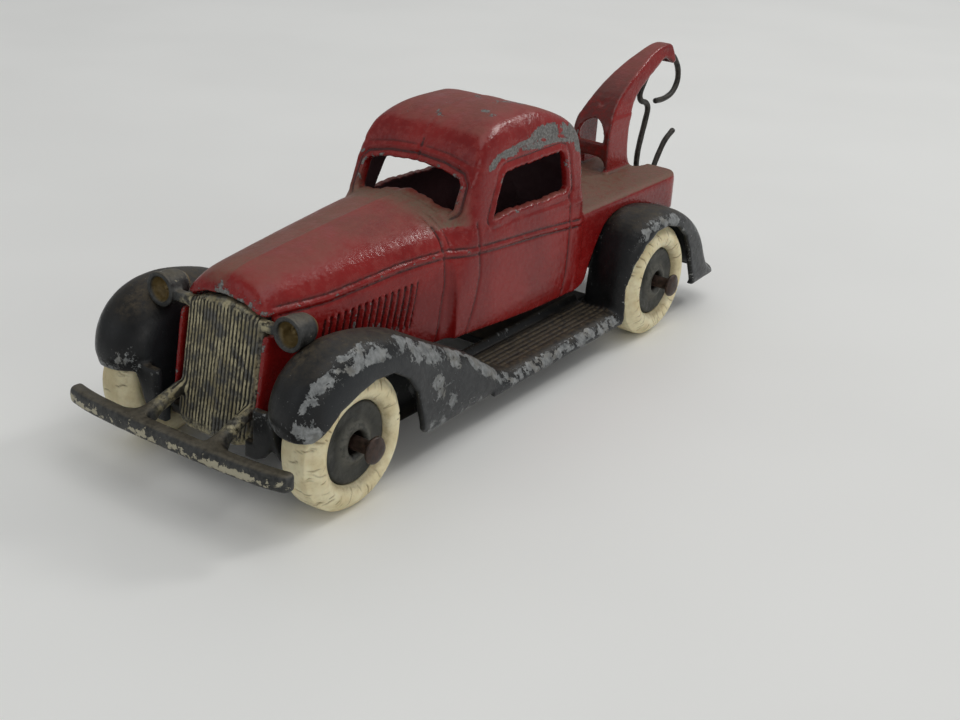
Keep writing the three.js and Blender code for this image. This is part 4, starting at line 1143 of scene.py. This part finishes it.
def add_tyre(name, centre, sign, seed, material, body, node):
    profile = tyre_profile()
    sides = 560
    heights, radii = profile.T
    angle = 2 * np.pi * np.arange(sides) / sides
    rng = np.random.default_rng(seed)
    crack = np.zeros((sides, len(profile)))
    walls = {"side": (ramp(heights, 1.6, 2.2) * (radii > 5.1), 6.4), "tread": (ramp(radii, 7.3, 7.6), 8.0)}
    for where, count in (("side", 46), ("tread", 60)):
        zone, radius = walls[where]
        along = radii if where == "side" else heights
        low, high = (5.2, 7.9) if where == "side" else (-2.2, 2.6)
        for _ in range(count):
            turn, middle_at = rng.uniform(0, 2 * np.pi), rng.uniform(low, high)
            reach, slant, width = rng.uniform(0.35, 1.1), rng.normal(0, 0.03), rng.uniform(0.05, 0.11)
            wave = 0.012 * np.sin(along * rng.uniform(3, 6) + turn)
            off = (angle[:, None] - turn - slant * (along - middle_at) - wave + np.pi) % (2 * np.pi) - np.pi
            off = off * radius
            mark = np.exp(-((off / width) ** 2)) * ramp(1 - np.abs(along - middle_at) / reach, 0, 0.5) * zone
            crack = np.maximum(crack, mark * rng.uniform(0.4, 1.0))
    ripples = 0.03 * np.sin(heights * 9.0) * ramp(radii, 7.0, 7.8)

    def shape(grid):
        flat = grid.reshape(-1, 3)
        lumps = value_noise(flat + seed * 9.7, 2.2, seed).reshape(crack.shape) * 0.05 + ripples
        inward = (lumps - 0.16 * crack) * (radii > 5.0)
        size = np.sqrt(grid[:, :, 0] ** 2 + grid[:, :, 2] ** 2)
        scale = np.where(radii > 7.2, 1 + inward / size, 1.0)
        grid = grid * np.stack([scale, np.ones_like(scale), scale], axis=2)
        wall_side = np.where(np.abs(heights) > 1.7, np.sign(heights), 0) * (radii < 7.9)
        grid[:, :, 1] += wall_side * np.minimum(inward, 0.03)
        return grid

    near_hub = np.exp(-(((radii - 5.1) / 0.35) ** 2)) * 0.55 * np.ones((sides, 1))
    return add_turned(name, profile, sides, centre, sign, material, body, node,
                      {"crack": crack, "hollow": near_hub}, shape)


HUB_PROFILE = [(-2.6, BORE_RADIUS), (-2.6, 2.2), (-2.45, 2.35), (-1.5, 2.4), (-1.4, 3.4), (-1.35, 4.4),
               (-1.15, 4.72), (-0.9, 4.88), (0.4, 4.9), (1.45, 4.9), (1.72, 4.84), (1.88, 4.66), (1.93, 4.4),
               (1.86, 3.9), (1.74, 3.3), (1.76, 2.75), (1.95, 2.4), (2.16, 2.18), (2.26, 1.95), (2.24, 1.7),
               (2.08, 1.5), (1.6, 1.38), (1.0, 1.32), (0.7, 1.2), (0.6, 0.95), (-0.6, BORE_RADIUS)]


def add_hub(name, centre, sign, seed, material, body, node):
    profile = np.asarray(HUB_PROFILE)
    heights, radii = profile.T
    sides = 200
    boss = (ramp(heights, 1.2, 1.7) * hump(radii - 2.1, 0.75))[None, :] * np.ones((sides, 1))
    hole = ramp(-radii, -1.5, -1.3)[None, :] * np.ones((sides, 1))

    def shape(grid):
        flat = grid.reshape(-1, 3)
        lumps = value_noise(flat + seed * 5.1, 0.9, seed).reshape(grid.shape[:2])
        grid[:, :, 1] += 0.05 * lumps * (heights > 1.2) * (radii > 1.35) * (radii < 4.7)
        return grid

    return add_turned(name, profile, sides, centre, sign, material, body, node,
                      {"worn": boss, "hollow": hole}, shape)


def add_axle(name, x, material, body, node):
    shank, head, half = 0.85, 1.66, NAIL_HALF_LENGTH
    end = [(half, 0.0), (half - 0.02, 0.5), (half - 0.05, 1.0), (half - 0.18, 1.42), (half - 0.4, 1.62),
           (half - 0.62, head), (half - 0.78, 1.55), (half - 0.86, 1.25), (half - 0.9, 1.0), (half - 1.1, shank)]
    profile = [*end, *[(h, shank) for h in np.linspace(half - 2, -half + 2, 60)], *[(-h, r) for h, r in end[::-1]]]
    heights, radii = np.asarray(profile).T
    sides = 48
    grid = turned(profile, sides)
    flat = grid.reshape(-1, 3)
    lumps = value_noise(flat + x, 0.8, 21).reshape(grid.shape[:2])
    at_head = np.abs(heights) > half - 1.0
    grid[:, :, 1] -= 0.05 * (1 + lumps) * at_head * np.sign(heights) * (radii < 1.5)
    scale = 1 - np.where(at_head, 0.025, 0.02) * (1 + lumps)
    grid[:, :, 0] *= scale
    grid[:, :, 2] *= scale
    points = grid.reshape(-1, 3)
    item = make_object(name, points + (x, 0, AXLE_Z), outward(points, ring_faces(sides, len(profile), False)))
    dress(item, material, body, node)


HOOK_ROUTE = [(-55.3, 27.3), (-58.5, 27.2), (-61.1, 27.8), (-62.5, 29.4), (-62.3, 31.3), (-61, 33), (-59.3, 34.2),
              HOOK_PIVOT, (-55.6, 34.3), (-53.3, 32.9), (-51.4, 31), (-50.4, 29.2), (-51, 28.1), (-52.6, 27.5),
              (-53.4, 26.4), (-52.9, 24.4), (-52.1, 22), (-51.5, 19.6), (-51.6, 17.2), (-53, 15.5), (-55.2, 15.1),
              (-57.1, 16), (-58.5, 17.9), (-60.4, 20), (-63.1, 21.4)]


def add_hook(material):
    route = curve(HOOK_ROUTE, 14)
    steps = np.linalg.norm(np.diff(route, axis=0), axis=1)
    run = np.concatenate([[0], np.cumsum(steps)])
    spaced = np.linspace(0, run[-1], 360)
    x, z = np.interp(spaced, run, route[:, 0]), np.interp(spaced, run, route[:, 1])
    dx, dz = np.gradient(x), np.gradient(z)
    size = np.hypot(dx, dz)
    across_x, across_z = -dz / size, dx / size
    from_end = np.minimum(spaced, spaced[-1] - spaced)
    radius = WIRE_RADIUS * np.sqrt(np.clip(from_end / 0.35, 0.02, 1)) * (1 - 0.02 * np.sin(spaced * 2.3))
    sides, count = 20, len(x)
    turn = 2 * np.pi * np.arange(sides) / sides
    points = np.stack([x + np.outer(np.cos(turn), radius * across_x), np.outer(np.sin(turn), radius),
                       z + np.outer(np.cos(turn), radius * across_z)], axis=2).reshape(-1, 3)
    first, last = [[side * count + k for side in range(sides)] for k in (0, count - 1)]
    faces = [*ring_faces(sides, count, False), first[::-1], last]
    item = make_object("wire_hook", points, outward(points - points.mean(0), faces))
    dress(item, material, "tow_hook", "tow_hook")


def add_floor():
    half = 1.6
    mesh = bpy.data.meshes.new("floor")
    mesh.from_pydata([(-half, -half, 0), (half, -half, 0), (half, half, 0), (-half, half, 0)], [], [(0, 1, 2, 3)])
    item = bpy.data.objects.new("floor", mesh)
    item.data.materials.append(floor_plastic())
    bpy.context.collection.objects.link(item)


# ---- The scene ----

add_camera()
add_lights()
add_floor()
body_casting(red_enamel())
chassis_casting(black_enamel())
grille_casting(tarnished_plate())
rubber, hub_look = old_rubber(), hub_metal()
nail = rusty_steel("axle_steel", (0.022, 0.014, 0.011), (0.07, 0.042, 0.032), 0.35, 0.7)
wire = rusty_steel("hook_steel", (0.02, 0.019, 0.018), (0.075, 0.07, 0.062), 0.8, 0.9)
seed = 0
for end, axle_x in (("front", FRONT_AXLE_X), ("rear", REAR_AXLE_X)):
    add_axle(f"{end}_nail", axle_x, nail, f"{end}_axle", f"{end}_axle")
    for hand, sign in (("left", 1), ("right", -1)):
        seed += 1
        centre = (axle_x, sign * WHEEL_Y, AXLE_Z)
        wheel = f"{end}_{hand}_wheel"
        add_tyre(f"{end}_{hand}_rubber", centre, sign, seed, rubber, wheel, f"{end}_{hand}_tyre")
        add_hub(f"{end}_{hand}_disc", centre, sign, seed, hub_look, wheel, f"{end}_{hand}_hub")
add_hook(wire)
